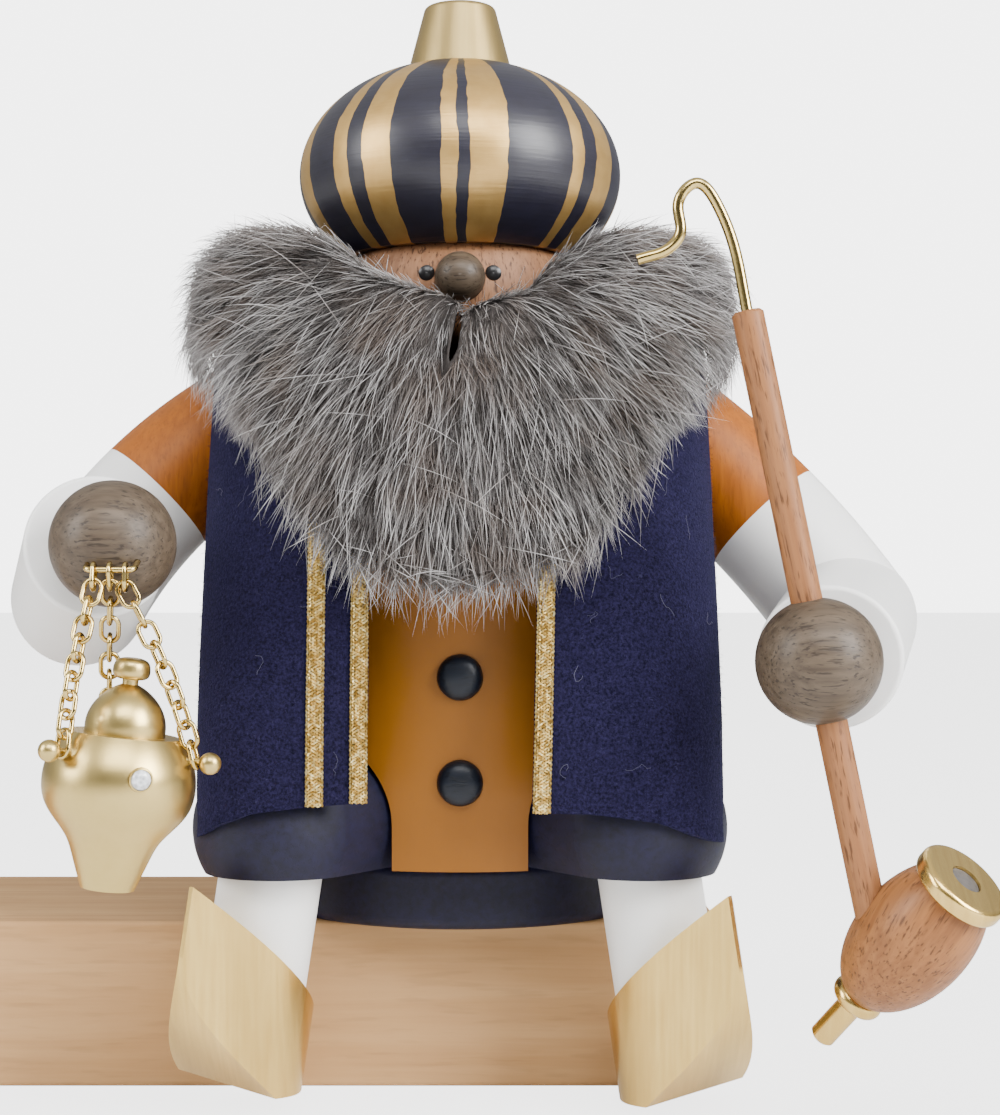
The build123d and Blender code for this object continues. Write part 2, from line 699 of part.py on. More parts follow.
# Arms: bent round bars, cut flat at the shoulder and parted at the seam above the elbow
arm_bars = {side: arm_tube(side, arm_radius) for side in sides}
for side, sign in sides.items():
    seam = Plane(origin=mirrored(arm_seams[side], side), z_dir=seam_axes[side])
    with BuildPart() as upper_arm:
        add(arm_bars[side])
        split(bisect_by=seam, keep=Keep.BOTTOM)
        split(bisect_by=Plane(origin=(sign * shoulder_flat, 0, 0), z_dir=(sign, 0, 0)), keep=Keep.TOP)
        for bore in shoulder_bores:
            add(bore, mode=Mode.SUBTRACT)
        add(elbow_bores[side], mode=Mode.SUBTRACT)
    keep(upper_arm, f"{side}_upper_arm")

    elbow = mirrored(elbows[side], side)
    forearm_length = (mirrored(cuffs[side], side) - elbow).length
    with BuildPart() as sleeve:
        add(arm_bars[side])
        split(bisect_by=seam, keep=Keep.TOP)
        with Locations(elbow):
            Sphere(elbow_radius)
        with BuildSketch(turning_plane(elbow, cuff_axes[side], (0, 0, 1))):
            with BuildLine():
                FilletPolyline(
                    (elbow_radius, 0), (cuff_radius, forearm_length), (0, forearm_length), radius=cuff_round,
                )
                Polyline((0, forearm_length), (0, 0), (elbow_radius, 0))
            make_face()
        revolve(axis=Axis(elbow, cuff_axes[side]))
        add(elbow_bores[side], mode=Mode.SUBTRACT)
        add(wrist_bores[side], mode=Mode.SUBTRACT)
    keep(sleeve, f"{side}_sleeve")

with BuildPart() as shoulder_dowels:
    for sign in sides.values():
        with BuildSketch(crossing_plane((sign * (shoulder_flat - shoulder_dowel_length / 2), 0,
                                         shoulder_height), (sign, 0, 0))):
            Circle(dowel_radius)
        extrude(amount=shoulder_dowel_length)
keep(shoulder_dowels, "shoulder_dowels")

with BuildPart() as elbow_dowels:
    for side in sides:
        start = mirrored(arm_seams[side], side) - seam_axes[side] * (elbow_dowel_length / 2)
        with BuildSketch(crossing_plane(start, seam_axes[side])):
            Circle(dowel_radius)
        extrude(amount=elbow_dowel_length)
keep(elbow_dowels, "elbow_dowels")

with BuildPart() as wrist_dowels:
    for side in sides:
        start = mirrored(cuffs[side], side) - cuff_axes[side] * (wrist_dowel_length / 2)
        with BuildSketch(crossing_plane(start, cuff_axes[side])):
            Circle(wrist_dowel_radius)
        extrude(amount=wrist_dowel_length)
keep(wrist_dowels, "wrist_dowels")

# Staple in the figure's right hand, and the bore for the pipe in the left hand
staple_middle = mirrored(hand_places["left"], "left") + Vector(*staple_offset)
staple_axis = Vector(0, -staple_offset[1], -staple_offset[2]).normalized()
stem_axis = Vector(-sin(radians(stem_tilt)), 0, cos(radians(stem_tilt)))
stem_through = mirrored(hand_places["right"], "right")
stem_bottom = stem_through - stem_axis * stem_below_hand
stem_top = stem_through + stem_axis * stem_above_hand
stem_length = stem_above_hand + stem_below_hand


def staple_wire(radius):
    """Wire bent square, with both ends driven into the hand."""
    side_step = Vector(staple_span / 2, 0, 0)
    leg = staple_axis * staple_leg_length
    with BuildPart() as wire:
        with BuildLine():
            FilletPolyline(
                staple_middle - side_step + leg, staple_middle - side_step, staple_middle + side_step,
                staple_middle + side_step + leg, radius=staple_bend,
            )
        with BuildSketch(crossing_plane(staple_middle - side_step + leg, staple_axis * -1)):
            Circle(radius)
        sweep()
    return wire.part


staple_form = staple_wire(staple_wire_radius)
staple_drill = staple_wire(staple_wire_radius + glue_gap / 2)
with BuildPart() as staple:
    add(staple_form)
keep(staple, "staple")

for side in sides:
    with BuildPart() as hand:
        with Locations(mirrored(hand_places[side], side)):
            Sphere(hand_radius)
        split(bisect_by=Plane(origin=mirrored(cuffs[side], side), z_dir=cuff_axes[side]), keep=Keep.TOP)
        add(wrist_bores[side], mode=Mode.SUBTRACT)
        if side == "left":
            add(staple_drill, mode=Mode.SUBTRACT)
        else:
            add(pin_between(stem_bottom, stem_axis, stem_length, stem_radius + running_gap),
                mode=Mode.SUBTRACT)
    keep(hand, f"{side}_hand")


# Coat of felt: a stiff shell with rounded front corners, open down the front
def coat_block(grow):
    """Solid inside the coat's outer face, with every row grown evenly."""
    with BuildPart() as block:
        for height, half_width, front, corner in coat_rows:
            wide = half_width + grow
            fore = front + grow
            turn = corner + grow
            rise = grow if height == coat_rows[-1][0] else 0
            with BuildSketch(Plane.XY.offset(height + rise)):
                with BuildLine():
                    Polyline((-wide + turn, -fore), (wide - turn, -fore))
                    CenterArc((wide - turn, -fore + turn), turn, -90, 90)
                    Line((wide, -fore + turn), (wide, 0))
                    ThreePointArc((wide, 0), (0, wide), (-wide, 0))
                    Line((-wide, 0), (-wide, -fore + turn))
                    CenterArc((-wide + turn, -fore + turn), turn, 180, 90)
                make_face()
        loft(ruled=True)
    return block.part


def front_prism(points, reach):
    """Straight prism in front of the middle plane, from an outline seen from the front."""
    with BuildPart() as prism:
        with BuildSketch(Plane.XZ):
            with BuildLine():
                Polyline(*points, close=True)
            make_face()
        extrude(amount=reach)
    return prism.part


cut_reach = 2 * torso_radius
coat_top = coat_rows[-1][0]
below_hem = front_prism(
    (*hem_points, (hem_points[-1][0], -overrun), (hem_points[0][0], -overrun)), cut_reach)
coat_outer = coat_block(0)
coat_inner = coat_block(-felt)
thigh_room = {}
for side, axis in thigh_axes.items():
    room = thigh_radius + coat_thigh_gap
    knee = thigh_centre + axis * thigh_dome_reach
    with BuildPart() as clear_room:
        with BuildSketch(Plane(origin=thigh_centre, x_dir=Vector(0, 0, 1).cross(axis), z_dir=axis)):
            Circle(room)
            with Locations((0, -thigh_axis_height / 2)):
                Rectangle(2 * room, thigh_axis_height)
        extrude(amount=thigh_dome_reach)
        with Locations(knee):
            Sphere(room)
        with BuildSketch(Plane.XY):
            with Locations((knee.X, knee.Y)):
                Circle(room)
        extrude(amount=thigh_axis_height)
    thigh_room[side] = clear_room.part
with BuildPart() as coat:
    add(coat_outer)
    add(coat_inner, mode=Mode.SUBTRACT)
    add(below_hem, mode=Mode.SUBTRACT)
    with BuildSketch(Plane.XY):
        with Locations((0, cut_reach / 2)):
            Rectangle(2 * cut_reach, cut_reach)
    extrude(amount=hem_points[0][1], mode=Mode.SUBTRACT)
    with BuildSketch(Plane.XY.offset(coat_top - cut_reach / 2)):
        Circle(coat_neck_radius)
    extrude(amount=cut_reach, mode=Mode.SUBTRACT)
    add(front_prism(
        ((-coat_edge_left, 0), (coat_edge_right_hem, 0), (coat_edge_right_top, coat_top + overrun),
         (-coat_edge_left, coat_top + overrun)), cut_reach), mode=Mode.SUBTRACT)
    for side in sides:
        add(arm_tube(side, arm_radius + armhole_gap), mode=Mode.SUBTRACT)
        add(thigh_room[side], mode=Mode.SUBTRACT)
keep(coat, "coat")

# Braids glued to the coat's front, from under the beard to the hem
braid_ground = coat_block(glue_gap)
braid_face = coat_block(glue_gap + braid_thickness)


def braid_strip(place_top, place_hem):
    """One braid that follows the coat's face; places are its middle at the top and at the seat."""
    half = braid_width / 2
    with BuildPart() as strip:
        add(braid_face)
        add(braid_ground, mode=Mode.SUBTRACT)
        add(front_prism(((place_hem - half, 0), (place_hem + half, 0), (place_top + half, braid_top),
                         (place_top - half, braid_top)), cut_reach), mode=Mode.INTERSECT)
        add(below_hem, mode=Mode.SUBTRACT)
    return strip.part


for name, place_top, place_hem in (
    ("left_outer_braid", -left_outer_braid_place, -left_outer_braid_place),
    ("left_inner_braid", -left_inner_braid_place, -left_inner_braid_place),
    ("right_braid", coat_edge_right_top + braid_width / 2, coat_edge_right_hem + braid_width / 2),
):
    strip_form = braid_strip(place_top, place_hem)
    with BuildPart() as braid:
        add(strip_form)
    keep(braid, name)

# Beard: the room that the long fur fills, around the face and down the coat's front
first_angle = radians(-90 - beard_sweep / 2)
fur_start = Plane(origin=(0, 0, 0), x_dir=(cos(first_angle), sin(first_angle), 0),
                  z_dir=Vector(cos(first_angle), sin(first_angle), 0).cross(Vector(0, 0, 1)))
beard_ground = coat_block(glue_gap + braid_thickness + beard_gap)
low_side_cuts = [
    front_prism(((sign * beard_side_place, 0), (sign * cut_reach, 0),
                 (sign * cut_reach, beard_side_bottom), (sign * beard_side_place, beard_side_bottom)),
                cut_reach)
    for sign in sides.values()
]
armhole_rooms = [arm_tube(side, arm_radius + armhole_gap) for side in sides]
with BuildPart() as beard:
    with BuildSketch(fur_start):
        with BuildLine():
            Polyline(*beard_profile, close=True)
        make_face()
    revolve(axis=Axis.Z, revolution_arc=beard_sweep)
    with BuildSketch(Plane.XY):
        with Locations((0, cut_reach / 2)):
            Rectangle(2 * cut_reach, cut_reach)
    extrude(amount=coat_top + glue_gap + braid_thickness + beard_gap, mode=Mode.SUBTRACT)
    with BuildSketch(Plane.XZ):
        with BuildLine():
            Polyline(*beard_outline, close=True)
        make_face()
    extrude(amount=cut_reach, both=True, mode=Mode.INTERSECT)
    add(beard_ground, mode=Mode.SUBTRACT)
    for cut in low_side_cuts + armhole_rooms:
        add(cut, mode=Mode.SUBTRACT)
    for left, right, bottom, top in (
        (-mouth_slot_half_width, mouth_slot_half_width, *mouth_slot_heights),
        (-nose_notch_half_width, nose_notch_half_width, nose_notch_bottom,
         nose_notch_bottom + nose_radius * 2),
    ):
        add(front_prism(((left, bottom), (right, bottom), (right, top), (left, top)), cut_reach),
            mode=Mode.SUBTRACT)
keep(beard, "beard")


# Chains: one link form, set from each top link down to its pin on the vessel
vessel_axis = Vector(sin(radians(vessel_lean)), 0, cos(radians(vessel_lean)))
vessel_right = Vector(cos(radians(vessel_lean)), 0, -sin(radians(vessel_lean)))
vessel_rim = Vector(*vessel_place)
vessel_height = vessel_rows[-1][1]


def outward_from_vessel(azimuth):
    """Direction square to the vessel's axis, at an angle from its front."""
    turn = radians(azimuth)
    return vessel_right * sin(turn) + Vector(0, -cos(turn), 0)


def vessel_spot(azimuth, drop, reach):
    """A place beside the vessel, at a drop below its rim and a reach from its axis."""
    return vessel_rim - vessel_axis * drop + outward_from_vessel(azimuth) * reach


link_bend = link_inner_width / 2 + chain_wire_radius
chain_heads = {}
top_link_places = {}
for name, spread, lean in zip(("left", "back", "right"), (-chain_spread, 0, chain_spread), top_link_leans):
    hang = Vector(0, sin(radians(lean)), -cos(radians(lean)))
    chain_heads[name] = staple_middle + Vector(spread, 0, 0) + hang * top_link_pitch
    top_link_places[name] = (staple_middle + Vector(spread, 0, 0), hang)
chain_feet = {}
for name, azimuth in pin_angles.items():
    pin_spot = vessel_spot(azimuth, pin_drop, link_reach)
    down = (pin_spot - chain_heads[name]).normalized()
    slant = down.cross(outward_from_vessel(azimuth)).length
    chain_feet[name] = pin_spot + down * ((chain_wire_radius + pin_shank_radius + link_play) / slant)
chain_bends = {
    name: outward_from_vessel(azimuth) * (4 * chain_bows[name]) for name, azimuth in pin_angles.items()
}
chain_starts = {}
for name, head in chain_heads.items():
    fall = (chain_feet[name] - head + chain_bends[name]).normalized()
    lift = (Vector(0, 0, 1 - chain_lean_share) - fall * chain_lean_share).normalized()
    chain_starts[name] = head + lift * (chain_slacks[name] - link_play)
pitches = {name: (chain_feet[name] - chain_starts[name]).length / link_count for name in pin_angles}
link_inner_length = max(pitches.values()) + link_play


def link_form(inner_length):
    """Oval wire link; its plane is X-Z, and the middle of its lower wire is at the origin."""
    straight = inner_length - link_inner_width
    low = link_inner_width / 2 + chain_wire_radius
    with BuildPart() as form:
        with BuildLine(Plane.XZ):
            Line((-link_bend, low), (-link_bend, low + straight))
            CenterArc((0, low + straight), link_bend, 180, -180)
            Line((link_bend, low + straight), (link_bend, low))
            CenterArc((0, low), link_bend, 0, -180)
        with BuildSketch(Plane(origin=(-link_bend, 0, low), z_dir=(0, 0, 1))):
            Circle(chain_wire_radius)
        sweep()
    return form.part


def place_link(form, foot, up, normal):
    """Link moved so that its lower wire is at the foot and its plane is square to the normal."""
    flat_normal = (normal - up * normal.dot(up)).normalized()
    return Plane(origin=foot, x_dir=up.cross(flat_normal) * -1, z_dir=up).location * form


hanging_link = link_form(link_inner_length)
top_link = link_form(top_link_pitch + staple_wire_radius + link_play - chain_wire_radius)
placed_top_links = [
    place_link(top_link, place + hang * top_link_pitch, hang * -1, Vector(1, 0, 0))
    for place, hang in top_link_places.values()
]
with BuildPart() as chain_top_links:
    add(placed_top_links)
keep(chain_top_links, "chain_top_links")

for name, azimuth in pin_angles.items():
    run = chain_feet[name] - chain_starts[name]
    contacts = [
        chain_starts[name] + run * share + chain_bends[name] * (share * (1 - share))
        for share in [number / link_count for number in range(link_count + 1)]
    ]
    last_turn = azimuth if azimuth < 90 else azimuth - 180
    placed_links = []
    for number in range(link_count):
        turn = radians(last_turn * number / (link_count - 1) + 90 * (number % 2))
        normal = Vector(sin(turn), -cos(turn), 0)
        up = (contacts[number] - contacts[number + 1]).normalized()
        placed_links.append(place_link(hanging_link, contacts[number + 1], up, normal))
    with BuildPart() as chain:
        add(placed_links)
    keep(chain, f"{name}_chain")

# Censer vessel: turned, with sockets for the lid, the pins and the stone
vessel_frame = turning_plane(vessel_rim, vessel_axis)
vessel_turning = Axis(vessel_rim, vessel_axis)
stone_way = outward_from_vessel(stone_angle)
stone_spot = vessel_spot(stone_angle, stone_drop, stone_reach)
with BuildPart() as censer_body:
    with BuildSketch(vessel_frame):
        with BuildLine():
            Spline(*[(radius, -drop) for radius, drop in vessel_rows])
            Polyline((vessel_rows[-1][0], -vessel_height), (0, -vessel_height), (0, 0),
                     (vessel_rows[0][0], 0))
        make_face()
    revolve(axis=vessel_turning)
    add(pin_between(vessel_rim - vessel_axis * (lid_spigot_length + glue_gap), vessel_axis,
                    lid_height, lid_spigot_radius + glue_gap), mode=Mode.SUBTRACT)
    for azimuth in pin_angles.values():
        add(pin_between(vessel_spot(azimuth, pin_drop, link_reach - pin_shank_depth - glue_gap),
                        outward_from_vessel(azimuth), pin_ball_reach, pin_shank_radius + glue_gap / 2),
            mode=Mode.SUBTRACT)
    add(pin_between(stone_spot, stone_way, lid_radius, stone_radius + glue_gap), mode=Mode.SUBTRACT)
keep(censer_body, "censer_body")

with BuildPart() as chain_pins:
    for azimuth in pin_angles.values():
        with BuildSketch(crossing_plane(vessel_spot(azimuth, pin_drop, link_reach - pin_shank_depth),
                                        outward_from_vessel(azimuth))):
            Circle(pin_shank_radius)
        extrude(amount=pin_ball_reach - link_reach + pin_shank_depth)
        with Locations(vessel_spot(azimuth, pin_drop, pin_ball_reach)):
            Sphere(pin_ball_radius)
keep(chain_pins, "chain_pins")

with BuildPart() as censer_stone:
    with BuildSketch(turning_plane(stone_spot, stone_way, (0, 0, 1))):
        with BuildLine():
            Polyline((0, stone_height), (0, 0), (stone_radius, 0), (stone_radius, stone_height / 2))
            Bezier((stone_radius, stone_height / 2), (stone_radius * dome_shares[1], stone_height),
                   (0, stone_height))
        make_face()
    revolve(axis=Axis(stone_spot, stone_way))
keep(censer_stone, "censer_stone")

knob_bottom = lid_height + knob_neck_length
with BuildPart() as censer_lid:
    with BuildSketch(vessel_frame):
        with BuildLine():
            Polyline((0, -lid_spigot_length), (lid_spigot_radius, -lid_spigot_length),
                     (lid_spigot_radius, 0), (lid_radius, 0), (lid_radius, lid_lip))
            Spline((lid_radius, lid_lip), (lid_radius * lid_shares[0], lid_height * lid_shares[1]),
                   (lid_radius * lid_shares[2], lid_height * lid_shares[3]), (knob_neck_radius, lid_height))
            Line((knob_neck_radius, lid_height), (knob_neck_radius, knob_bottom))
            Spline((knob_neck_radius, knob_bottom), (knob_radius, knob_bottom + knob_half_height),
                   (0, knob_bottom + 2 * knob_half_height), tangents=((1, 0), (-1, 0)))
            Line((0, knob_bottom + 2 * knob_half_height), (0, -lid_spigot_length))
        make_face()
    revolve(axis=vessel_turning)
keep(censer_lid, "censer_lid")

# Pipe: a wooden stem, a bent wire mouthpiece and a slanting egg-shaped bowl
stem_bore_length = wire_seat + glue_gap
with BuildPart() as pipe_stem:
    with BuildSketch(crossing_plane(stem_bottom, stem_axis)):
        Circle(stem_radius)
    extrude(amount=stem_length)
    chamfer(pipe_stem.edges().filter_by(GeomType.CIRCLE), stem_chamfer)
    add(pin_between(stem_top - stem_axis * stem_bore_length, stem_axis, stem_length,
                    wire_radius + glue_gap / 2), mode=Mode.SUBTRACT)
keep(pipe_stem, "pipe_stem")

wire_start = stem_top - stem_axis * wire_seat
with BuildPart() as pipe_wire:
    with BuildLine():
        Line(wire_start, stem_top)
        Spline(stem_top, *[(x, stem_through.Y, z) for x, z in wire_points],
               tangents=(stem_axis, (wire_points[-1][0] - wire_points[-2][0], 0,
                                     wire_points[-1][1] - wire_points[-2][1])))
    with BuildSketch(crossing_plane(wire_start, stem_axis)):
        Circle(wire_radius)
    sweep()
keep(pipe_wire, "pipe_wire")

bowl_way = Vector(*bowl_axis).normalized()
bowl_frame = turning_plane(bowl_place, bowl_way)
bowl_turning = Axis(bowl_place, bowl_way)
rim_top = bowl_top_offset + rim_thickness
plug_floor = rim_top - plug_drop - plug_depth
stem_drill = pin_between(stem_bottom - stem_axis * glue_gap, stem_axis, stem_length, stem_radius + glue_gap)
with BuildPart() as pipe_bowl:
    with BuildSketch(bowl_frame):
        with Locations((0, bowl_belly_offset)):
            Ellipse(bowl_radius, bowl_half_length)
        with Locations((bowl_radius, (bowl_top_offset - bowl_foot_offset) / 2)):
            Rectangle(2 * bowl_radius, bowl_top_offset + bowl_foot_offset, mode=Mode.INTERSECT)
    revolve(axis=bowl_turning)
    add(stem_drill, mode=Mode.SUBTRACT)
    add(pin_between(bowl_turning.position + bowl_way * (plug_floor - glue_gap), bowl_way, bowl_half_length,
                    plug_radius + glue_gap), mode=Mode.SUBTRACT)
    add(pin_between(bowl_turning.position - bowl_way * (bowl_foot_offset - peg_seat - glue_gap),
                    bowl_way * -1, bowl_half_length, peg_radius + glue_gap), mode=Mode.SUBTRACT)
keep(pipe_bowl, "pipe_bowl")

with BuildPart() as bowl_rim:
    with BuildSketch(bowl_frame):
        with Locations((plug_radius + glue_gap + (rim_radius - plug_radius - glue_gap) / 2,
                        bowl_top_offset + rim_thickness / 2)):
            Rectangle(rim_radius - plug_radius - glue_gap, rim_thickness)
    revolve(axis=bowl_turning)
    outer_rims = bowl_rim.edges().filter_by(GeomType.CIRCLE).filter_by(lambda e: e.radius > bowl_radius / 2)
    fillet(outer_rims, rim_round)
keep(bowl_rim, "bowl_rim")

with BuildPart() as bowl_plug:
    with BuildSketch(crossing_plane(bowl_turning.position + bowl_way * plug_floor, bowl_way)):
        Circle(plug_radius)
    extrude(amount=plug_depth)
keep(bowl_plug, "bowl_plug")

foot_top = -bowl_foot_offset
with BuildPart() as bowl_foot:
    with BuildSketch(bowl_frame):
        with BuildLine():
            Polyline((0, foot_top - bead_length - peg_length), (0, foot_top + peg_seat),
                     (peg_radius, foot_top + peg_seat), (peg_radius, foot_top), (bead_radius, foot_top))
            ThreePointArc((bead_radius, foot_top),
                          (bead_radius + bead_length * bead_share, foot_top - bead_length / 2),
                          (bead_radius, foot_top - bead_length))
            Polyline((bead_radius, foot_top - bead_length), (peg_radius, foot_top - bead_length),
                     (peg_radius, foot_top - bead_length - peg_length + peg_chamfer),
                     (peg_radius - peg_chamfer, foot_top - bead_length - peg_length),
                     (0, foot_top - bead_length - peg_length))
        make_face()
    revolve(axis=bowl_turning)
keep(bowl_foot, "bowl_foot")
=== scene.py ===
import math

import bmesh
import bpy
import numpy as np
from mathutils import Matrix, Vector, noise


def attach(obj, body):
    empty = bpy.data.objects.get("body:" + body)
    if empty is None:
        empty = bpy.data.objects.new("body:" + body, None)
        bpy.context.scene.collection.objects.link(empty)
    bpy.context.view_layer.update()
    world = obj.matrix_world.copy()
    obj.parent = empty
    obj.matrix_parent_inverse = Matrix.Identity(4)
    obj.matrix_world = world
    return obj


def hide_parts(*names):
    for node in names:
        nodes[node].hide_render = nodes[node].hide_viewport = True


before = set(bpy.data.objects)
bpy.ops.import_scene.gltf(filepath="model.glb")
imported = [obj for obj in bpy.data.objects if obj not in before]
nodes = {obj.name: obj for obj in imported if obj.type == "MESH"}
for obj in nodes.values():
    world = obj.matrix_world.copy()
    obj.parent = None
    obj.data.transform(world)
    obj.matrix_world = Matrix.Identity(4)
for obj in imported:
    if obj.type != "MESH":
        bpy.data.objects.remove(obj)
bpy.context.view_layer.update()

# Lengths are in millimetres, but for those of the camera, the lights and the floor
MM = 0.001
FULL_TURN = 2 * math.pi
QUARTER = math.radians(90)

# Camera, from the photograph's horizon and vanishing point
EYE_DISTANCE = 330 * MM
EYE_HEIGHT = 50.4 * MM
LENS = 68.74
SENSOR = 36.0
SHIFT = (0.0359, 0.0166)
SEAT_DROP = 24.2 * MM

# The coat's plan at several heights: height, half width, reach of the front, corner radius
COAT_ROWS = (
    (10.0, 36.4, 46.2, 9.0),
    (30.0, 36.6, 44.6, 12.0),
    (50.0, 36.9, 40.6, 18.0),
    (70.0, 37.0, 37.8, 26.0),
    (84.5, 36.8, 37.0, 30.0),
    (87.5, 34.6, 34.8, 28.0),
)
FELT = 1.1
COAT_TOP = 87.5
NECK_RADIUS = 20.0
# The hem's height at places across the front, and round the back
HEM = (
    (-39.0, 14.0), (-36.0, 14.6), (-33.0, 16.8), (-28.0, 18.6), (-20.0, 19.5), (-12.0, 20.1),
    (9.0, 18.7), (18.0, 18.5), (27.0, 17.3), (33.0, 15.0), (36.0, 14.0), (39.0, 14.0),
)
BACK_HEM = 14.0
# The opening's edges, from the middle
EDGE_LEFT = 12.5
EDGE_RIGHT_TOP = 11.6
EDGE_RIGHT_HEM = 9.2
MIDDLE_HEM = 17.0
SHOULDER = 84.5
BEND_SHARE = 0.3
# Steps of the sheet round the figure, up to the shoulder and over it
AROUND = 220
UP = 64
OVER = 10
# How far the felt hangs unevenly, how soon below the shoulder, and how far round from the front
DRAPE = 0.4
DRAPE_RUN = 20
DRAPE_START = 0.5
DRAPE_FULL = 0.3
# The arms' middle lines, at the viewer's left and right, which the armholes follow
ARM_LINES = (
    ((-28.0, -0.2, 76.0), (-32.0, -0.8, 73.9), (-35.8, -1.4, 71.5), (-39.4, -2.1, 68.9),
     (-42.8, -3.0, 66.0)),
    ((28.0, -0.2, 75.6), (31.8, -0.7, 72.8), (35.4, -1.4, 69.8), (39.0, -2.1, 66.7),
     (42.4, -2.9, 63.5)),
)
ARMHOLE = 10.8
# The thighs and their domed knees, which the hem lies over
THIGH_ROOM = 12.7
THIGH_SPLAY = math.radians(38)
THIGH_HEIGHT = 15.4
KNEE_REACH = 40.8
DOME_RINGS = 16
DOME_SIDES = 40

# Braids: a plait of round threads on a flat ribbon, with a cord along each edge
BRAID_TOP = 84.0
BRAID_HALF = 1.2
PLAIT_PITCH = 2.3
STRANDS = 5
STRAND_MARGIN = 0.22
STRAND_WANDER = 0.03
THREAD = 0.165
THREAD_STEP = 0.19
THREAD_SIDES = 6
BRAID_PROUD = 0.05
BRAID_SEED = 40
RIBBON = 0.2
RIBBON_HALF = 1.05
# Corners of the ribbon's section: side, and how far they stand off the felt
RIBBON_CORNERS = ((-1, BRAID_PROUD), (1, BRAID_PROUD), (1, RIBBON + BRAID_PROUD),
                  (-1, RIBBON + BRAID_PROUD))
EDGE_CORD = 0.16
CORD_MARGIN = 0.14
CORD_WAVE = 0.06


def between(value, low, high):
    return low + (high - low) * value


def share_of(value, start, run):
    """From 0 at the start to 1 a run further on; a run below 0 counts downwards."""
    return np.clip((value - start) / run, 0, 1)


def eased(value, start, run):
    """The same share, slow at both ends."""
    share = share_of(value, start, run)
    return share * share * (3 - 2 * share)


def table_value(table, at, column):
    """Straight-line reading of a table of rows, at a value of its first column."""
    return float(np.interp(at, [row[0] for row in table], [row[column] for row in table]))


# Meshes and objects
BAR_SIDES = 48
NEARLY_UPRIGHT = 0.9
FORWARDS = Vector((0, -1, 0))


def add_object(name, data):
    made = bpy.data.objects.new(name, data)
    bpy.context.scene.collection.objects.link(made)
    return made


def new_piece(name, points, faces, smooth=True):
    mesh = bpy.data.meshes.new(name)
    mesh.from_pydata([tuple(p) for p in points], [], faces)
    mesh.validate()
    mesh.polygons.foreach_set("use_smooth", [smooth] * len(mesh.polygons))
    return add_object(name, mesh)


def settle(piece):
    """Applies every modifier, so that the mesh is what shows."""
    bpy.context.view_layer.update()
    graph = bpy.context.evaluated_depsgraph_get()
    final = bpy.data.meshes.new_from_object(piece.evaluated_get(graph))
    piece.modifiers.clear()
    piece.data = final


def face_outwards(piece):
    """Turns every face of a closed mesh to look outwards."""
    mesh = bmesh.new()
    mesh.from_mesh(piece.data)
    bmesh.ops.recalc_face_normals(mesh, faces=mesh.faces)
    mesh.to_mesh(piece.data)
    mesh.free()


def sharpen(piece, degrees):
    """Smooth shading, broken where two faces meet at more than an angle."""
    piece.data.polygons.foreach_set("use_smooth", [True] * len(piece.data.polygons))
    piece.data.set_sharp_from_angle(angle=math.radians(degrees))


def dress(piece, finish, slot, *replaced, body="upper_body"):
    """Gives a piece its finish and its body, and hides the solids that it stands for; the slot is
    not used.
    """
    piece.data.materials.clear()
    piece.data.materials.append(finish)
    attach(piece, body)
    if replaced:
        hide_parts(*replaced)


def stitch(faces, first, rings, sides):
    """Adds the faces between rings of points that follow each other."""
    for start in range(first, first + (rings - 1) * sides, sides):
        for k in range(sides):
            a, b = start + k, start + (k + 1) % sides
            faces.append((a, b, b + sides, a + sides))


def close_ends(faces, first, rings, sides):
    """Adds the faces that close the first and the last ring."""
    last = first + (rings - 1) * sides
    faces.append(tuple(reversed(range(first, first + sides))))
    faces.append(tuple(range(last, last + sides)))


def add_bar(points, faces, path, radii, sides, square=None):
    """Adds a closed round bar along a few points, with a radius at each."""
    first = len(points)
    for i, p in enumerate(path):
        along = (path[min(i + 1, len(path) - 1)] - path[max(i - 1, 0)]).normalized()
        upright = Vector((0, 0, 1)) if abs(along.z) < NEARLY_UPRIGHT else Vector((0, 1, 0))
        side = along.cross(upright if square is None else square).normalized()
        other = along.cross(side)
        for k in range(sides):
            turn = FULL_TURN * k / sides
            points.append(p + (side * math.cos(turn) + other * math.sin(turn)) * radii[i])
    stitch(faces, first, len(path), sides)
    close_ends(faces, first, len(path), sides)


def round_bar(path, radius):
    points, faces = [], []
    add_bar(points, faces, [Vector(p) for p in path], [radius] * len(path), BAR_SIDES)
    return points, faces


# Shader building
LACQUER_ROUGHNESS = 0.18


def feed(tree, socket, value):
    """Links another node's output to a socket, or sets a number, vector or colour on it."""
    if isinstance(value, bpy.types.NodeSocket):
        tree.links.new(value, socket)
    elif socket.type == "RGBA" and len(value) == 3:
        socket.default_value = (*value, 1)
    else:
        socket.default_value = value


def put(tree, kind, inputs=None, **settings):
    """Adds a node; inputs maps a socket's name or number to what feeds it."""
    made = tree.nodes.new(kind)
    for name, value in settings.items():
        setattr(made, name, value)
    for name, value in (inputs or {}).items():
        feed(tree, made.inputs[name], value)
    return made


def object_place(tree):
    return put(tree, "ShaderNodeTexCoord").outputs["Object"]


def mapped(tree, at, scale=(1, 1, 1), turn=(0, 0, 0)):
    inputs = {"Vector": at, "Rotation": turn, "Scale": scale}
    return put(tree, "ShaderNodeMapping", inputs).outputs[0]


def noise_at(tree, at, scale, detail=2.0, **more):
    inputs = {"Vector": at, "Scale": scale, "Detail": detail, **more}
    return put(tree, "ShaderNodeTexNoise", inputs).outputs["Fac"]


def cells_at(tree, at, scale):
    return put(tree, "ShaderNodeTexVoronoi", {"Vector": at, "Scale": scale}).outputs["Distance"]


def attribute(tree, name):
    return put(tree, "ShaderNodeAttribute", attribute_name=name).outputs["Fac"]


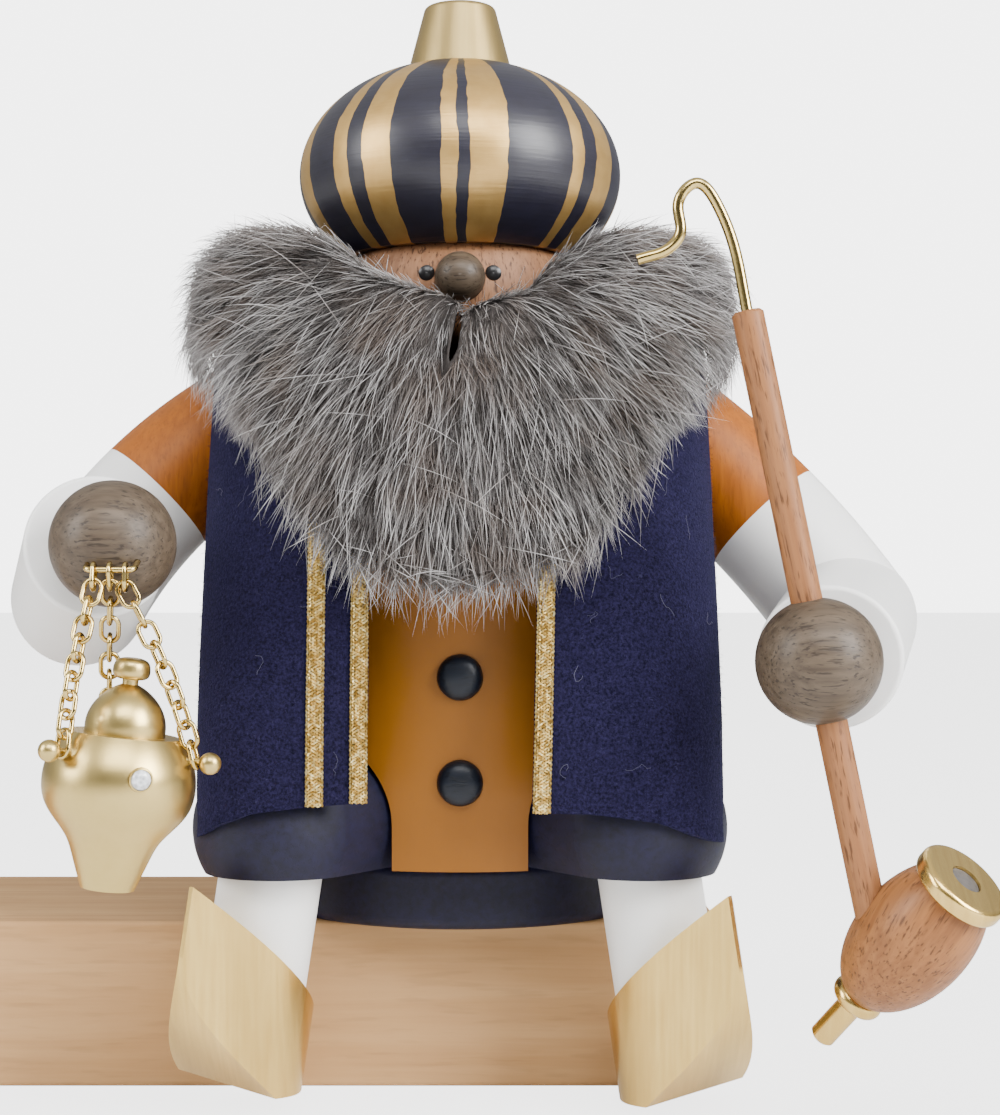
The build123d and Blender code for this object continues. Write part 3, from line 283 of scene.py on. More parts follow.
def axes_of(tree, at):
    return put(tree, "ShaderNodeSeparateXYZ", {0: at}).outputs


def spread(tree, value, low=0.0, high=1.0, to_low=0.0, to_high=1.0):
    """Carries a value over from one range to another, and holds it inside."""
    inputs = {"Value": value, "From Min": low, "From Max": high, "To Min": to_low,
              "To Max": to_high}
    return put(tree, "ShaderNodeMapRange", inputs).outputs[0]


def math_node(tree, operation, first, second):
    return put(tree, "ShaderNodeMath", {0: first, 1: second}, operation=operation).outputs[0]


def times(tree, first, second):
    return math_node(tree, "MULTIPLY", first, second)


def plus(tree, first, second):
    return math_node(tree, "ADD", first, second)


def mix_colour(tree, factor, first, second):
    inputs = {0: factor, 6: first, 7: second}
    return put(tree, "ShaderNodeMix", inputs, data_type="RGBA").outputs[2]


def ramp(tree, factor, stops, interpolation="LINEAR"):
    made = put(tree, "ShaderNodeValToRGB", {"Fac": factor})
    made.color_ramp.interpolation = interpolation
    elements = made.color_ramp.elements
    while len(elements) < len(stops):
        elements.new(0.5)
    for element, (place, colour) in zip(elements, sorted(stops)):
        element.position = place
        element.color = (*colour, 1)
    return made.outputs["Color"]


def new_group(name, inputs, outputs):
    """Node group with inputs (name, kind and default) and named values as outputs."""
    tree = bpy.data.node_groups.new(name, "ShaderNodeTree")
    for label, kind, default in inputs:
        made = tree.interface.new_socket(name=label, in_out="INPUT", socket_type=kind)
        made.default_value = default
    for label in outputs:
        tree.interface.new_socket(name=label, in_out="OUTPUT", socket_type="NodeSocketFloat")
    return tree, tree.nodes.new("NodeGroupOutput").inputs


def wood_grain_group():
    """Long streaks, short pores and a broad mottle, drawn out along the piece's Z after a turn."""
    tree, results = new_group("wood_grain", (("Turn", "NodeSocketVector", (0, 0, 0)),
                                             ("Fineness", "NodeSocketFloat", 1.0)),
                              ("Streak", "Pore", "Mottle"))
    given = tree.nodes.new("NodeGroupInput").outputs
    turned = mapped(tree, object_place(tree), turn=given["Turn"])
    streak = noise_at(tree, mapped(tree, turned, (900, 900, 45)), given["Fineness"], 4.0,
                      Roughness=0.6, Distortion=0.4)
    pore = noise_at(tree, mapped(tree, turned, (2600, 2600, 330)), given["Fineness"])
    mottle = noise_at(tree, turned, 90.0, 3.0)
    feed(tree, results["Streak"], spread(tree, streak, 0.3, 0.7))
    feed(tree, results["Pore"], spread(tree, pore, 0.56, 0.68))
    feed(tree, results["Mottle"], spread(tree, mottle, 0.3, 0.7))
    return tree


def surface_group():
    """Dust, hand wear and tiny dents that every lacquered or stained surface has."""
    tree, results = new_group("surface_life", (), ("Smudge", "Speck", "Ripple"))
    place = object_place(tree)
    feed(tree, results["Smudge"], noise_at(tree, place, 120.0, 5.0, Roughness=0.65))
    feed(tree, results["Speck"], spread(tree, cells_at(tree, place, 700.0), 0.1, 0.04))
    feed(tree, results["Ripple"], noise_at(tree, place, 420.0))
    return tree


WOOD_GRAIN = wood_grain_group()
SURFACE = surface_group()


def grouped(tree, group, **inputs):
    return put(tree, "ShaderNodeGroup", inputs, node_tree=group).outputs


def new_material(name, roughness, metallic=0.0, coat=0.0, **constants):
    """Material with numbers set on its Principled shader; returns it and its tree."""
    made = bpy.data.materials.new(name)
    made.use_nodes = True
    shader = made.node_tree.nodes["Principled BSDF"]
    constants.update(Roughness=roughness, Metallic=metallic, Coat_Weight=coat,
                     Coat_Roughness=LACQUER_ROUGHNESS)
    for label, value in constants.items():
        shader.inputs[label.replace("_", " ")].default_value = value
    return made, made.node_tree


def finished(made, colour, rough=None, relief=None):
    """Links a material's colour; rough is a mask with the roughness at its low and its high end,
    relief is a height with the strength and the depth in millimetres that it shows with."""
    tree = made.node_tree
    inputs = tree.nodes["Principled BSDF"].inputs
    feed(tree, inputs["Base Color"], colour)
    if rough:
        mask, low, high = rough
        feed(tree, inputs["Roughness"], spread(tree, mask, to_low=low, to_high=high))
    if relief:
        height, strength, depth = relief
        shown = {"Height": height, "Strength": strength, "Distance": depth * MM}
        feed(tree, inputs["Normal"], put(tree, "ShaderNodeBump", shown).outputs[0])
    return made


def scaled(colour, amount):
    return tuple(amount * c for c in colour)


def stained_wood(name, dark, light, turn=(0, 0, 0), roughness=(0.3, 0.5), grain=0.5, coat=0.15,
                 fineness=1.0):
    """Turned wood under stain or thin paint: streaks tint it, pores darken it."""
    made, tree = new_material(name, roughness[0], coat=coat, Specular_IOR_Level=0.3)
    wood = grouped(tree, WOOD_GRAIN, Turn=turn, Fineness=fineness)
    colour = mix_colour(tree, wood["Streak"], dark, light)
    colour = mix_colour(tree, times(tree, wood["Mottle"], 0.35), colour, light)
    colour = mix_colour(tree, times(tree, wood["Pore"], grain), colour, scaled(dark, 0.45))
    relief = math_node(tree, "SUBTRACT", times(tree, wood["Streak"], 0.4), wood["Pore"])
    return finished(made, colour, (grouped(tree, SURFACE)["Smudge"], *roughness),
                    (relief, 0.25 * grain + 0.05, 0.1))


def painted_wood(name, colour, roughness, variation=0.06, coat=0.0):
    """Opaque satin paint on turned wood: faint mottle, faint ripples and a few specks of dust."""
    made, tree = new_material(name, roughness[0], coat=coat, Specular_IOR_Level=0.35)
    streak = grouped(tree, WOOD_GRAIN)["Streak"]
    life = grouped(tree, SURFACE)
    paint = mix_colour(tree, life["Smudge"], colour, scaled(colour, 1 - 2.5 * variation))
    paint = mix_colour(tree, times(tree, streak, 0.35), paint, colour)
    paint = mix_colour(tree, times(tree, life["Speck"], 0.12), paint, scaled(colour, 0.6))
    relief = plus(tree, times(tree, life["Ripple"], 0.6), times(tree, streak, 0.5))
    return finished(made, paint, (life["Smudge"], *roughness), (relief, 0.12, 0.1))


def gold_lacquer(name, deep, bright, worn_and_reflection_dark, roughness):
    """Gold leaf paint over wood: soft mirror with upright strokes, broad darker streaks of painted
    reflection and darker smudges of dust and wear.
    """
    made, tree = new_material(name, roughness[0], metallic=0.95, coat=0.05)
    life = grouped(tree, SURFACE)
    place = object_place(tree)
    strokes = noise_at(tree, mapped(tree, place, (1500, 90, 90), (0.1, 0.08, 0)), 1.0, 4.0)
    # Broad darker streaks towards the dark colour: painted reflection across the metal.
    painted_reflection_bands = noise_at(tree, mapped(tree, place, (120, 20, 8)), 1.0, 1.0)
    colour = mix_colour(tree, strokes, deep, bright)
    colour = mix_colour(tree, spread(tree, painted_reflection_bands, 0.48, 0.72, to_high=0.5), colour, worn_and_reflection_dark)
    colour = mix_colour(tree, times(tree, life["Smudge"], 0.3), colour, worn_and_reflection_dark)
    relief = plus(tree, strokes, times(tree, life["Ripple"], 0.4))
    return finished(made, colour, (life["Smudge"], *roughness), (relief, 0.22, 0.1))


VESSEL_LEAN = math.radians(6.5)


def turned_brass(name, roughness, lines=0.12):
    """Satin brass with faint lathe lines and finger marks."""
    made, tree = new_material(name, roughness[0], metallic=1.0)
    life = grouped(tree, SURFACE)
    turned = mapped(tree, object_place(tree), (60, 60, 2600), (0, -VESSEL_LEAN, 0))
    colour = mix_colour(tree, life["Smudge"], (0.66, 0.50, 0.20), (0.48, 0.35, 0.115))
    relief = plus(tree, noise_at(tree, turned, 1.0, 3.0), times(tree, life["Ripple"], 0.3))
    return finished(made, colour, (life["Smudge"], *roughness), (relief, lines, 0.05))


# Gold stripes painted on the turban, as azimuths in degrees from the front
STRIPES = (
    (-180, -176), (-158, -151), (-137, -127), (-118, -111), (-95, -86), (-79, -67), (-50.5, -43.5),
    (-35.5, -24.5), (-8, -2.2), (2.3, 16.2), (41, 47.4), (54.6, 65), (84, 93), (112, 121),
    (137, 147), (163, 180),
)
# How fine and how wide the waves of the stripes' edges are, slow sway and brush marks
STRIPE_WAVES = ((75.0, math.radians(5.0)), (420.0, math.radians(1.6)))


def turban_paint():
    """Navy stain with gold stripes from the finial down, their edges as wavy as brushwork."""
    made, tree = new_material("turban_paint", 0.4, coat=0.1)
    wood = grouped(tree, WOOD_GRAIN, Turn=(0, QUARTER, 0))
    life = grouped(tree, SURFACE)
    place = object_place(tree)
    axes = axes_of(tree, place)
    wavy = math_node(tree, "ARCTAN2", axes["X"], times(tree, axes["Y"], -1.0))
    for scale, amount in STRIPE_WAVES:
        wave = math_node(tree, "SUBTRACT", noise_at(tree, place, scale, 1.0), 0.5)
        wavy = plus(tree, wavy, times(tree, wave, amount))
    stops = []
    for start, end in STRIPES:
        stops.append(((start + 180) / 360, (1, 1, 1)))
        if end < 180:
            stops.append(((end + 180) / 360, (0, 0, 0)))
    gilt = ramp(tree, spread(tree, wavy, -math.pi, math.pi), stops, "CONSTANT")
    # Fine turning lines: real marks in the relief; in the colour they lift the navy to a lighter
    # tone, painted sheen.
    lathe = noise_at(tree, mapped(tree, place, (120, 120, 2600)), 1.0, 3.0)
    navy = mix_colour(tree, wood["Streak"], (0.0012, 0.0011, 0.005), (0.006, 0.006, 0.018))
    navy = mix_colour(tree, lathe, navy, (0.008, 0.0075, 0.018))
    navy = mix_colour(tree, times(tree, wood["Mottle"], 0.3), navy, (0.010, 0.006, 0.008))
    gold = mix_colour(tree, life["Ripple"], (0.46, 0.27, 0.075), (0.62, 0.40, 0.14))
    feed(tree, tree.nodes["Principled BSDF"].inputs["Metallic"], times(tree, gilt, 0.85))
    turned = plus(tree, lathe, times(tree, life["Ripple"], 0.4))
    relief = plus(tree, times(tree, gilt, 0.8), turned)
    return finished(made, mix_colour(tree, gilt, navy, gold), (life["Smudge"], 0.34, 0.5),
                    (relief, 0.3, 0.12))


def felt_cloth():
    """Dense navy wool felt: tangled fibres, a soft sheen and a little pale lint."""
    made, tree = new_material("felt_cloth", 0.95, Sheen_Weight=0.08, Sheen_Roughness=0.5,
                              Sheen_Tint=(0.25, 0.25, 0.6, 1), Specular_IOR_Level=0.08)
    place = object_place(tree)
    nap = noise_at(tree, place, 2600.0, 4.0, Roughness=0.7)
    cloud = noise_at(tree, place, 260.0, 3.0)
    tangle = noise_at(tree, place, 1100.0, Distortion=2.5)
    colour = mix_colour(tree, spread(tree, nap, 0.36, 0.66), (0.0006, 0.0005, 0.003),
                        (0.017, 0.014, 0.046))
    colour = mix_colour(tree, times(tree, cloud, 0.5), colour, (0.004, 0.0035, 0.016))
    threads = times(tree, spread(tree, tangle, 0.66, 0.74), 0.25)
    colour = mix_colour(tree, threads, colour, (0.05, 0.046, 0.10))
    return finished(made, colour, relief=(plus(tree, nap, tangle), 0.55, 0.25))


def braid_thread():
    """Metallic thread, twisted finely; bright on its crowns as painted glints, and dark on the
    ribbon between the threads as painted shade.
    """
    made, tree = new_material("braid_thread", 0.34, metallic=0.9)
    twist = noise_at(tree, object_place(tree), 3500.0)
    # Dark to bright by a point attribute: painted shade on the ribbon, painted glints along the
    # threads.
    colour = ramp(tree, attribute(tree, "painted_glint_and_shade"),
                  ((0.0, (0.035, 0.020, 0.012)), (0.35, (0.30, 0.17, 0.035)),
                   (0.7, (0.78, 0.55, 0.17)), (1.0, (1.0, 0.90, 0.50))))
    colour = mix_colour(tree, times(tree, twist, 0.4), colour, (0.55, 0.34, 0.08))
    return finished(made, colour, (twist, 0.22, 0.4), (twist, 0.4, 0.05))


def fur_hair():
    """Long fur: dark at the skin, grey-brown along the hair and pale at the tips."""
    made, tree = new_material("fur_hair", 0.5, Specular_IOR_Level=0.3)
    run, shade = attribute(tree, "hair_run"), attribute(tree, "hair_shade")
    dark = ramp(tree, run, ((0.0, (0.018, 0.014, 0.012)), (0.35, (0.050, 0.043, 0.040)),
                            (0.7, (0.115, 0.105, 0.102)), (1.0, (0.24, 0.23, 0.23))))
    pale = ramp(tree, run, ((0.0, (0.06, 0.053, 0.050)), (0.4, (0.25, 0.24, 0.235)),
                            (1.0, (0.85, 0.84, 0.83))))
    patch = noise_at(tree, object_place(tree), 110.0)
    brown = spread(tree, patch, 0.45, 0.7, to_high=0.5)
    colour = mix_colour(tree, brown, mix_colour(tree, shade, dark, pale), (0.130, 0.092, 0.070))
    return finished(made, colour, (shade, 0.5, 0.68))


def fur_ground():
    """The woolly undercoat between the long hairs, paler at the fur's ends behind."""
    made, tree = new_material("fur_ground", 0.95, Specular_IOR_Level=0.1)
    place = object_place(tree)
    strands = noise_at(tree, place, 900.0, 5.0, Distortion=1.5)
    colour = mix_colour(tree, strands, (0.016, 0.0135, 0.013), (0.078, 0.069, 0.065))
    behind = spread(tree, axes_of(tree, place)["Y"], 0.002, 0.011, to_high=0.6)
    colour = mix_colour(tree, behind, colour, (0.22, 0.205, 0.195))
    return finished(made, colour, relief=(strands, 0.8, 0.5))


def cut_crystal():
    """Foil-backed cut stone, patched from grey to white in its colour as painted glints of the
    facets.
    """
    made, tree = new_material("cut_crystal", 0.05, coat=1.0, IOR=1.6)
    painted_glint_cells = cells_at(tree, object_place(tree), 1500.0)
    # Patches from grey to white: painted glints of the facets on the silver foil.
    colour = mix_colour(tree, painted_glint_cells, (0.30, 0.31, 0.33), (0.92, 0.94, 0.97))
    return finished(made, colour, (painted_glint_cells, 0.02, 0.1))


def pressed_steel():
    made, tree = new_material("pressed_steel", 0.35, metallic=1.0)
    life = grouped(tree, SURFACE)
    colour = mix_colour(tree, life["Smudge"], (0.60, 0.60, 0.60), (0.42, 0.40, 0.38))
    return finished(made, colour, (life["Smudge"], 0.28, 0.5), (life["Ripple"], 0.1, 0.1))


def pale_dust(name, roughness, specular, scale, dark, light):
    """A dull surface with a slow cloud between two near colours."""
    made, tree = new_material(name, roughness, Specular_IOR_Level=specular)
    cloud = noise_at(tree, object_place(tree), scale)
    return finished(made, mix_colour(tree, cloud, dark, light))


brass = turned_brass("turned_brass", (0.26, 0.4))

# Each finish with the solids that it is on; the turns lay the grain along the piece
FINISHES = (
    (stained_wood("navy_stain", (0.0008, 0.0007, 0.006), (0.004, 0.0038, 0.022),
                  turn=(QUARTER, 0, 0), roughness=(0.5, 0.65), grain=0.35, coat=0.0),
     ("seat_base", "left_thigh", "right_thigh")),
    (stained_wood("button_stain", (0.0012, 0.002, 0.005), (0.004, 0.007, 0.014),
                  turn=(0, QUARTER, 0), roughness=(0.36, 0.5), grain=0.8, coat=0.03),
     ("buttons",)),
    (painted_wood("ochre_paint", (0.225, 0.078, 0.0015), (0.42, 0.55)), ("torso",)),
    (stained_wood("orange_paint", (0.20, 0.050, 0.0015), (0.32, 0.092, 0.004),
                  roughness=(0.4, 0.5), grain=0.25, coat=0.0),
     ("left_upper_arm", "right_upper_arm")),
    (painted_wood("white_paint", (0.82, 0.815, 0.80), (0.35, 0.45), variation=0.02, coat=0.05),
     ("left_leg", "right_leg", "left_sleeve", "right_sleeve")),
    (stained_wood("grey_stain", (0.034, 0.022, 0.013), (0.096, 0.070, 0.047),
                  turn=(0, QUARTER, 0), roughness=(0.4, 0.55), grain=0.8, coat=0.04),
     ("left_hand", "right_hand", "nose")),
    (stained_wood("head_wood", (0.17, 0.070, 0.028), (0.29, 0.138, 0.064),
                  roughness=(0.45, 0.6), grain=1.0, coat=0.0),
     ("head",)),
    (stained_wood("pipe_beech", (0.165, 0.060, 0.018), (0.28, 0.118, 0.044),
                  turn=(0, math.radians(11.6), 0), roughness=(0.45, 0.6), grain=0.85, coat=0.0),
     ("pipe_stem",)),
    (stained_wood("bowl_beech", (0.16, 0.056, 0.014), (0.30, 0.122, 0.038),
                  turn=(0, math.radians(-35), 0), roughness=(0.4, 0.55), grain=0.85, coat=0.04),
     ("pipe_bowl",)),
    (stained_wood("plain_dowel", (0.36, 0.20, 0.08), (0.50, 0.30, 0.14), grain=0.4, coat=0.0),
     ("hip_dowels", "knee_dowels", "shoulder_dowels", "elbow_dowels", "wrist_dowels",
      "crown_dowel", "neck_tube")),
    (painted_wood("dark_paint", (0.012, 0.011, 0.012), (0.25, 0.4), coat=0.2), ("eyes",)),
    (stained_wood("plug_wood", (0.05, 0.045, 0.04), (0.10, 0.09, 0.085), roughness=(0.4, 0.6)),
     ("bowl_plug",)),
    (gold_lacquer("gold_paint", (0.58, 0.37, 0.10), (0.88, 0.64, 0.225), (0.30, 0.18, 0.045),
                  (0.14, 0.30)),
     ("left_shoe", "right_shoe", "bowl_rim", "bowl_foot")),
    (gold_lacquer("dull_gold", (0.32, 0.225, 0.085), (0.44, 0.33, 0.135), (0.24, 0.16, 0.05),
                  (0.34, 0.5)),
     ("finial",)),
    (brass, ("censer_body", "censer_lid", "chain_pins")),
    (turned_brass("drawn_brass", (0.14, 0.24), lines=0.05),
     ("staple", "chain_top_links", "left_chain", "right_chain", "back_chain", "pipe_wire")),
    (turban_paint(), ("turban",)),
    (pressed_steel(), ("ember_tray", "tray_nail")),
)
for finish, names in FINISHES:
    for name in names:
        for socket in nodes[name].material_slots:
            socket.material = finish

felt = felt_cloth()

# The felt coat
def coat_plan(height):
    """Half width, reach of the front and corner radius of the coat's plan at a height."""
    return tuple(table_value(COAT_ROWS, height, column) for column in (1, 2, 3))


def coat_reach(turn, height):
    """Distance of the coat's outer face from the middle, at a turn from the front and a height."""
    half_width, front, corner = coat_plan(height)
    sine, cosine = abs(math.sin(turn)), math.cos(turn)
    if cosine <= 0:
        return half_width
    if front / cosine * sine <= half_width - corner:
        return front / cosine
    if sine > 0 and half_width / sine * cosine <= front - corner:
        return half_width / sine
    toward = sine * (half_width - corner) + cosine * (front - corner)
    square = (half_width - corner) ** 2 + (front - corner) ** 2
    return toward + math.sqrt(toward**2 - square + corner**2)


def front_of_coat(x, height):
    """How far the coat's face stands in front of the middle plane, at a place across it."""
    half_width, front, corner = coat_plan(height)
    past = max(0.0, abs(x) - (half_width - corner))
    return front - corner + math.sqrt(max(corner**2 - past**2, 0.0))


def hem_height(turn):
    if math.cos(turn) <= 0:
        return BACK_HEM
    return table_value(HEM, coat_reach(turn, MIDDLE_HEM) * math.sin(turn), 1)


def right_edge(height):
    return between(height / COAT_TOP, EDGE_RIGHT_HEM, EDGE_RIGHT_TOP)


def drape(turn, height):
    """Slow unevenness of hanging felt; none where the braids run, and none at the shoulder."""
    sine, cosine = math.sin(turn), math.cos(turn)
    away = min(max(abs(sine) - DRAPE_START, 0) / DRAPE_FULL, 1) if cosine > 0 else 1.0
    spot = Vector((sine * 3.1, cosine * 3.1, height * 0.035))
    return DRAPE * noise.noise(spot) * min((SHOULDER - height) / DRAPE_RUN, 1) * away


def coat_sheet():
    """The coat as one sheet, from its hem over the shoulders to the neck, open down the front."""
    points, faces = [], []
    for row in range(UP + OVER + 1):
        rise = min(row / UP, 1.0)
        over = max(row - UP, 0) / OVER
        level = between(rise, MIDDLE_HEM, SHOULDER)
        left = -math.atan2(EDGE_LEFT, front_of_coat(EDGE_LEFT, level))
        right = math.atan2(right_edge(level), front_of_coat(right_edge(level), level))
        for step in range(AROUND + 1):
            turn = between(step / AROUND, left, right - FULL_TURN)
            top = coat_reach(turn, COAT_TOP)
            if over == 0:
                height = between(rise, hem_height(turn), SHOULDER)
                reach = coat_reach(turn, height) + drape(turn, height)
            elif over < BEND_SHARE:
                bend = over / BEND_SHARE * QUARTER
                height = between(math.sin(bend), SHOULDER, COAT_TOP)
                reach = between(1 - math.cos(bend), coat_reach(turn, SHOULDER), top)
            else:
                height = COAT_TOP
                reach = between((over - BEND_SHARE) / (1 - BEND_SHARE), top, NECK_RADIUS)
            points.append((math.sin(turn) * reach * MM, -math.cos(turn) * reach * MM, height * MM))
    width = AROUND + 1
    for row in range(UP + OVER):
        for step in range(AROUND):
            a = row * width + step
            faces.append((a, a + width, a + width + 1, a + 1))
    return new_piece("felt_coat", points, faces)


def subtract(piece, points, faces):
    """Cuts a closed form, given in millimetres, away from a piece."""
    cutter = new_piece("cutter", [Vector(p) * MM for p in points], faces, smooth=False)
    face_outwards(cutter)
    cut = piece.modifiers.new("cut", "BOOLEAN")
    cut.operation = "DIFFERENCE"
    cut.solver = "EXACT"
    cut.object = cutter
    settle(piece)
    bpy.data.objects.remove(cutter, do_unlink=True)


def dome_points(centre, radius):
    """Half ball over an upright barrel that reaches below the hem."""
    points, faces = [], []
    levels = [(radius, -centre[2])]
    for k in range(DOME_RINGS):
        climb = k / DOME_RINGS * QUARTER
        levels.append((radius * math.cos(climb), radius * math.sin(climb)))
    for level_radius, rise in levels:
        for k in range(DOME_SIDES):
            turn = FULL_TURN * k / DOME_SIDES
            points.append((centre[0] + level_radius * math.cos(turn),
                           centre[1] + level_radius * math.sin(turn), centre[2] + rise))
    points.append((centre[0], centre[1], centre[2] + radius))
    stitch(faces, 0, len(levels), DOME_SIDES)
    last = (len(levels) - 1) * DOME_SIDES
    for k in range(DOME_SIDES):
        faces.append((last + k, last + (k + 1) % DOME_SIDES, len(points) - 1))
    faces.append(tuple(reversed(range(DOME_SIDES))))
    return points, faces


def make_coat():
    coat = coat_sheet()
    thick = coat.modifiers.new("thick", "SOLIDIFY")
    thick.thickness = FELT * MM
    thick.offset = -1.0
    settle(coat)
    face_outwards(coat)
    for sign, line in zip((-1, 1), ARM_LINES):
        subtract(coat, *round_bar(line, ARMHOLE))
        knee = Vector((sign * math.sin(THIGH_SPLAY), -math.cos(THIGH_SPLAY), 0)) * KNEE_REACH
        knee.z = THIGH_HEIGHT
        subtract(coat, *dome_points(knee, THIGH_ROOM))
        subtract(coat, *round_bar(((0, 0, THIGH_HEIGHT), knee), THIGH_ROOM))
    sharpen(coat, 40)
    dress(coat, felt, "felt", "coat")
    return coat


coat = make_coat()


# Woven gold braids on the coat's front edges
def on_coat(x, height, proud):
    """A place that stands off the coat's front, square to the cloth."""
    step = 0.2
    here = front_of_coat(x, height)
    across = (front_of_coat(x + step, height) - here) / step
    upward = (front_of_coat(x, height + step) - here) / step
    out = Vector((-across, -1, -upward)).normalized()
    return Vector((x, -here, height)) + out * proud


def strand_path(rng, centre, heights, strand):
    """One thread of the plait, over and under the others, with its radius along it."""
    path, radii = [], []
    slack = rng.uniform(0.9, 1.0)
    for height in heights:
        cycle = (height / PLAIT_PITCH + strand / STRANDS) % 1
        across = (4 * abs(cycle - 0.5) - 1) * (BRAID_HALF - STRAND_MARGIN) * slack
        over = math.sin(FULL_TURN * (height / PLAIT_PITCH * STRANDS / 2 + strand / 2 + 0.25))
        proud = BRAID_PROUD + RIBBON + THREAD * (0.75 + 0.5 * over)
        place = centre(height) + across + rng.uniform(-STRAND_WANDER, STRAND_WANDER)
        path.append(on_coat(place, height, proud))
        radii.append(THREAD * rng.uniform(0.75, 1.1))
    return path, radii


def cord_path(centre, heights, side):
    """The cord along one edge of the plait."""
    path = []
    for ring, height in enumerate(heights):
        wave = CORD_WAVE * math.sin(ring * 1.9)
        place = centre(height) + side * (BRAID_HALF - CORD_MARGIN + wave)
        path.append(on_coat(place, height, BRAID_PROUD + RIBBON * 0.8))
    return path


def make_braid(name, place_top, place_hem):
    """A flat plait of metal thread between corded edges, on a ribbon coloured dark as painted shade
    between the threads.
    """
    points, faces = [], []
    rng = np.random.default_rng(BRAID_SEED + int(place_top))

    def centre(height):
        return between(height / COAT_TOP, place_hem, place_top)

    bottom = table_value(HEM, centre(MIDDLE_HEM), 1)
    rings = int((BRAID_TOP - bottom) / THREAD_STEP)
    heights = [between(ring / rings, bottom, BRAID_TOP) for ring in range(rings + 1)]
    for height in heights:
        for side, proud in RIBBON_CORNERS:
            points.append(on_coat(centre(height) + side * RIBBON_HALF, height, proud))
    stitch(faces, 0, rings + 1, len(RIBBON_CORNERS))
    close_ends(faces, 0, rings + 1, len(RIBBON_CORNERS))
    # The ribbon's points take the darkest colour: painted shade between the threads.
    painted_glint_and_shade = [0.0] * len(points)

    def add_thread(path, radii, shade):
        add_bar(points, faces, path, radii, THREAD_SIDES, FORWARDS)
        for _ in path:
            # Each ring of a thread takes a random brightness: painted glints along the thread.
            painted_glint_and_shade.extend([min(max(shade + rng.uniform(-0.45, 0.35), 0), 1)] * THREAD_SIDES)

    for strand in range(STRANDS):
        add_thread(*strand_path(rng, centre, heights, strand), 0.7)
    for side in (-1, 1):
        add_thread(cord_path(centre, heights, side), [EDGE_CORD] * len(heights), 0.75)
    braid = new_piece(name + "_thread", [p * MM for p in points], faces)
    layer = braid.data.attributes.new("painted_glint_and_shade", "FLOAT", "POINT")
    layer.data.foreach_set("value", np.array(painted_glint_and_shade, np.float32))
    sharpen(braid, 50)
    dress(braid, gold_thread, "braid", name)


# Each braid's place across the front, at the top and at the hem
gold_thread = braid_thread()
make_braid("left_outer_braid", -19.5, -19.5)
make_braid("left_inner_braid", -13.6, -13.6)
make_braid("right_braid", 12.8, 10.4)


# The fur beard
FUR_SEED = 7
CORE_VOXEL = 1.1
CORE_DEPTH = 2.2
CORE_SPARE = 1.6
TIP_SPARE = 4.5
# The wool clears the shoulders by this far round, below this height
SHOULDER_CLEARANCE = 39.3
CLEARED_BELOW = 88.5
COMB_MIDDLE = (0.5, -34.0, 90.0)
# Roots also grow above this height, behind this depth, and under the rim beyond this radius
TOP_ROOTS = 84
END_ROOTS = 4
RIM_ROOTS = 42
# Start and run, across and in height, of where hairs hang down and where they grow longer
HANG_ACROSS = (24, 8)
HANG_BELOW = (91, -7)
LONG_ACROSS = (22, 8)
LONG_BELOW = (92, -5)
HAIR_SIDES = 3
LOCKS = 1500
AT_ONCE = 2000
PROBES = 13
# Hairs that the trim would leave shorter than this share are left out
SHORTEST_KEPT = 0.3
# The line that the fur is trimmed to, across and up, as it looks from the front at this distance
TRIM_DISTANCE = 290.0
TRIM_MIDDLE = (0.0, 70.0)
TRIM_LINE = (
    (-17.6, 96.6), (-21.8, 98.0), (-27.0, 98.0), (-31.3, 96.8), (-35.4, 93.2), (-37.2, 86.6),
    (-36.8, 78.5), (-34.0, 71.4), (-28.6, 67.4), (-26.4, 62.0), (-25.6, 58.0), (-21.8, 52.4),
    (-15.0, 48.0), (-9.0, 45.6), (-4.1, 44.3), (5.4, 45.1), (13.6, 48.0), (19.0, 51.0),
    (22.2, 55.0), (24.5, 62.1), (27.9, 68.3), (34.0, 71.0), (37.4, 78.5), (38.2, 86.6),
    (36.1, 93.2), (31.3, 96.4), (24.5, 98.0), (18.2, 98.0), (15.0, 96.2), (13.0, 92.6),
    (10.0, 90.2), (6.1, 89.0), (3.9, 87.4), (-0.9, 87.4), (-3.3, 89.0), (-8.2, 91.2),
    (-12.6, 92.4), (-14.6, 94.2),
)
MOUTH_TOP = (0.4, 87.5)
MOUTH_BOTTOM = (-1.6, 79.0)
# The mouth's height and half width that stay clear, and the half width of the parting above
MOUTH_RISE = 4
MOUTH_HALF = 0.6
PARTING_HALF = 0.2
# Start and run of the wool's closing on the parting: across, at its foot and at its head
CLOSE_ACROSS = (3, 5)
CLOSE_FOOT = (76.5, 2.5)
CLOSE_HEAD = (88.5, 2)
CLOSING = 0.85
# Fineness and height of the wool's lumps
LUMPS = ((0.16, 0.8), (0.6, 0.35))


def trim_table():
    offsets = np.array(TRIM_LINE) - np.array(TRIM_MIDDLE)
    return np.arctan2(offsets[:, 1], offsets[:, 0]), np.hypot(offsets[:, 0], offsets[:, 1])


TRIM_TURNS, TRIM_REACH = trim_table()
EYE = (EYE_DISTANCE / MM, EYE_HEIGHT / MM)


def from_the_front(places):
    """Places across and up as they look from the front, measured from the trim line's middle."""
    nearer = TRIM_DISTANCE / (EYE[0] + places[..., 1])
    across = places[..., 0] * nearer - TRIM_MIDDLE[0]
    up = EYE[1] + (places[..., 2] - EYE[1]) * nearer - TRIM_MIDDLE[1]
    return across, up, nearer


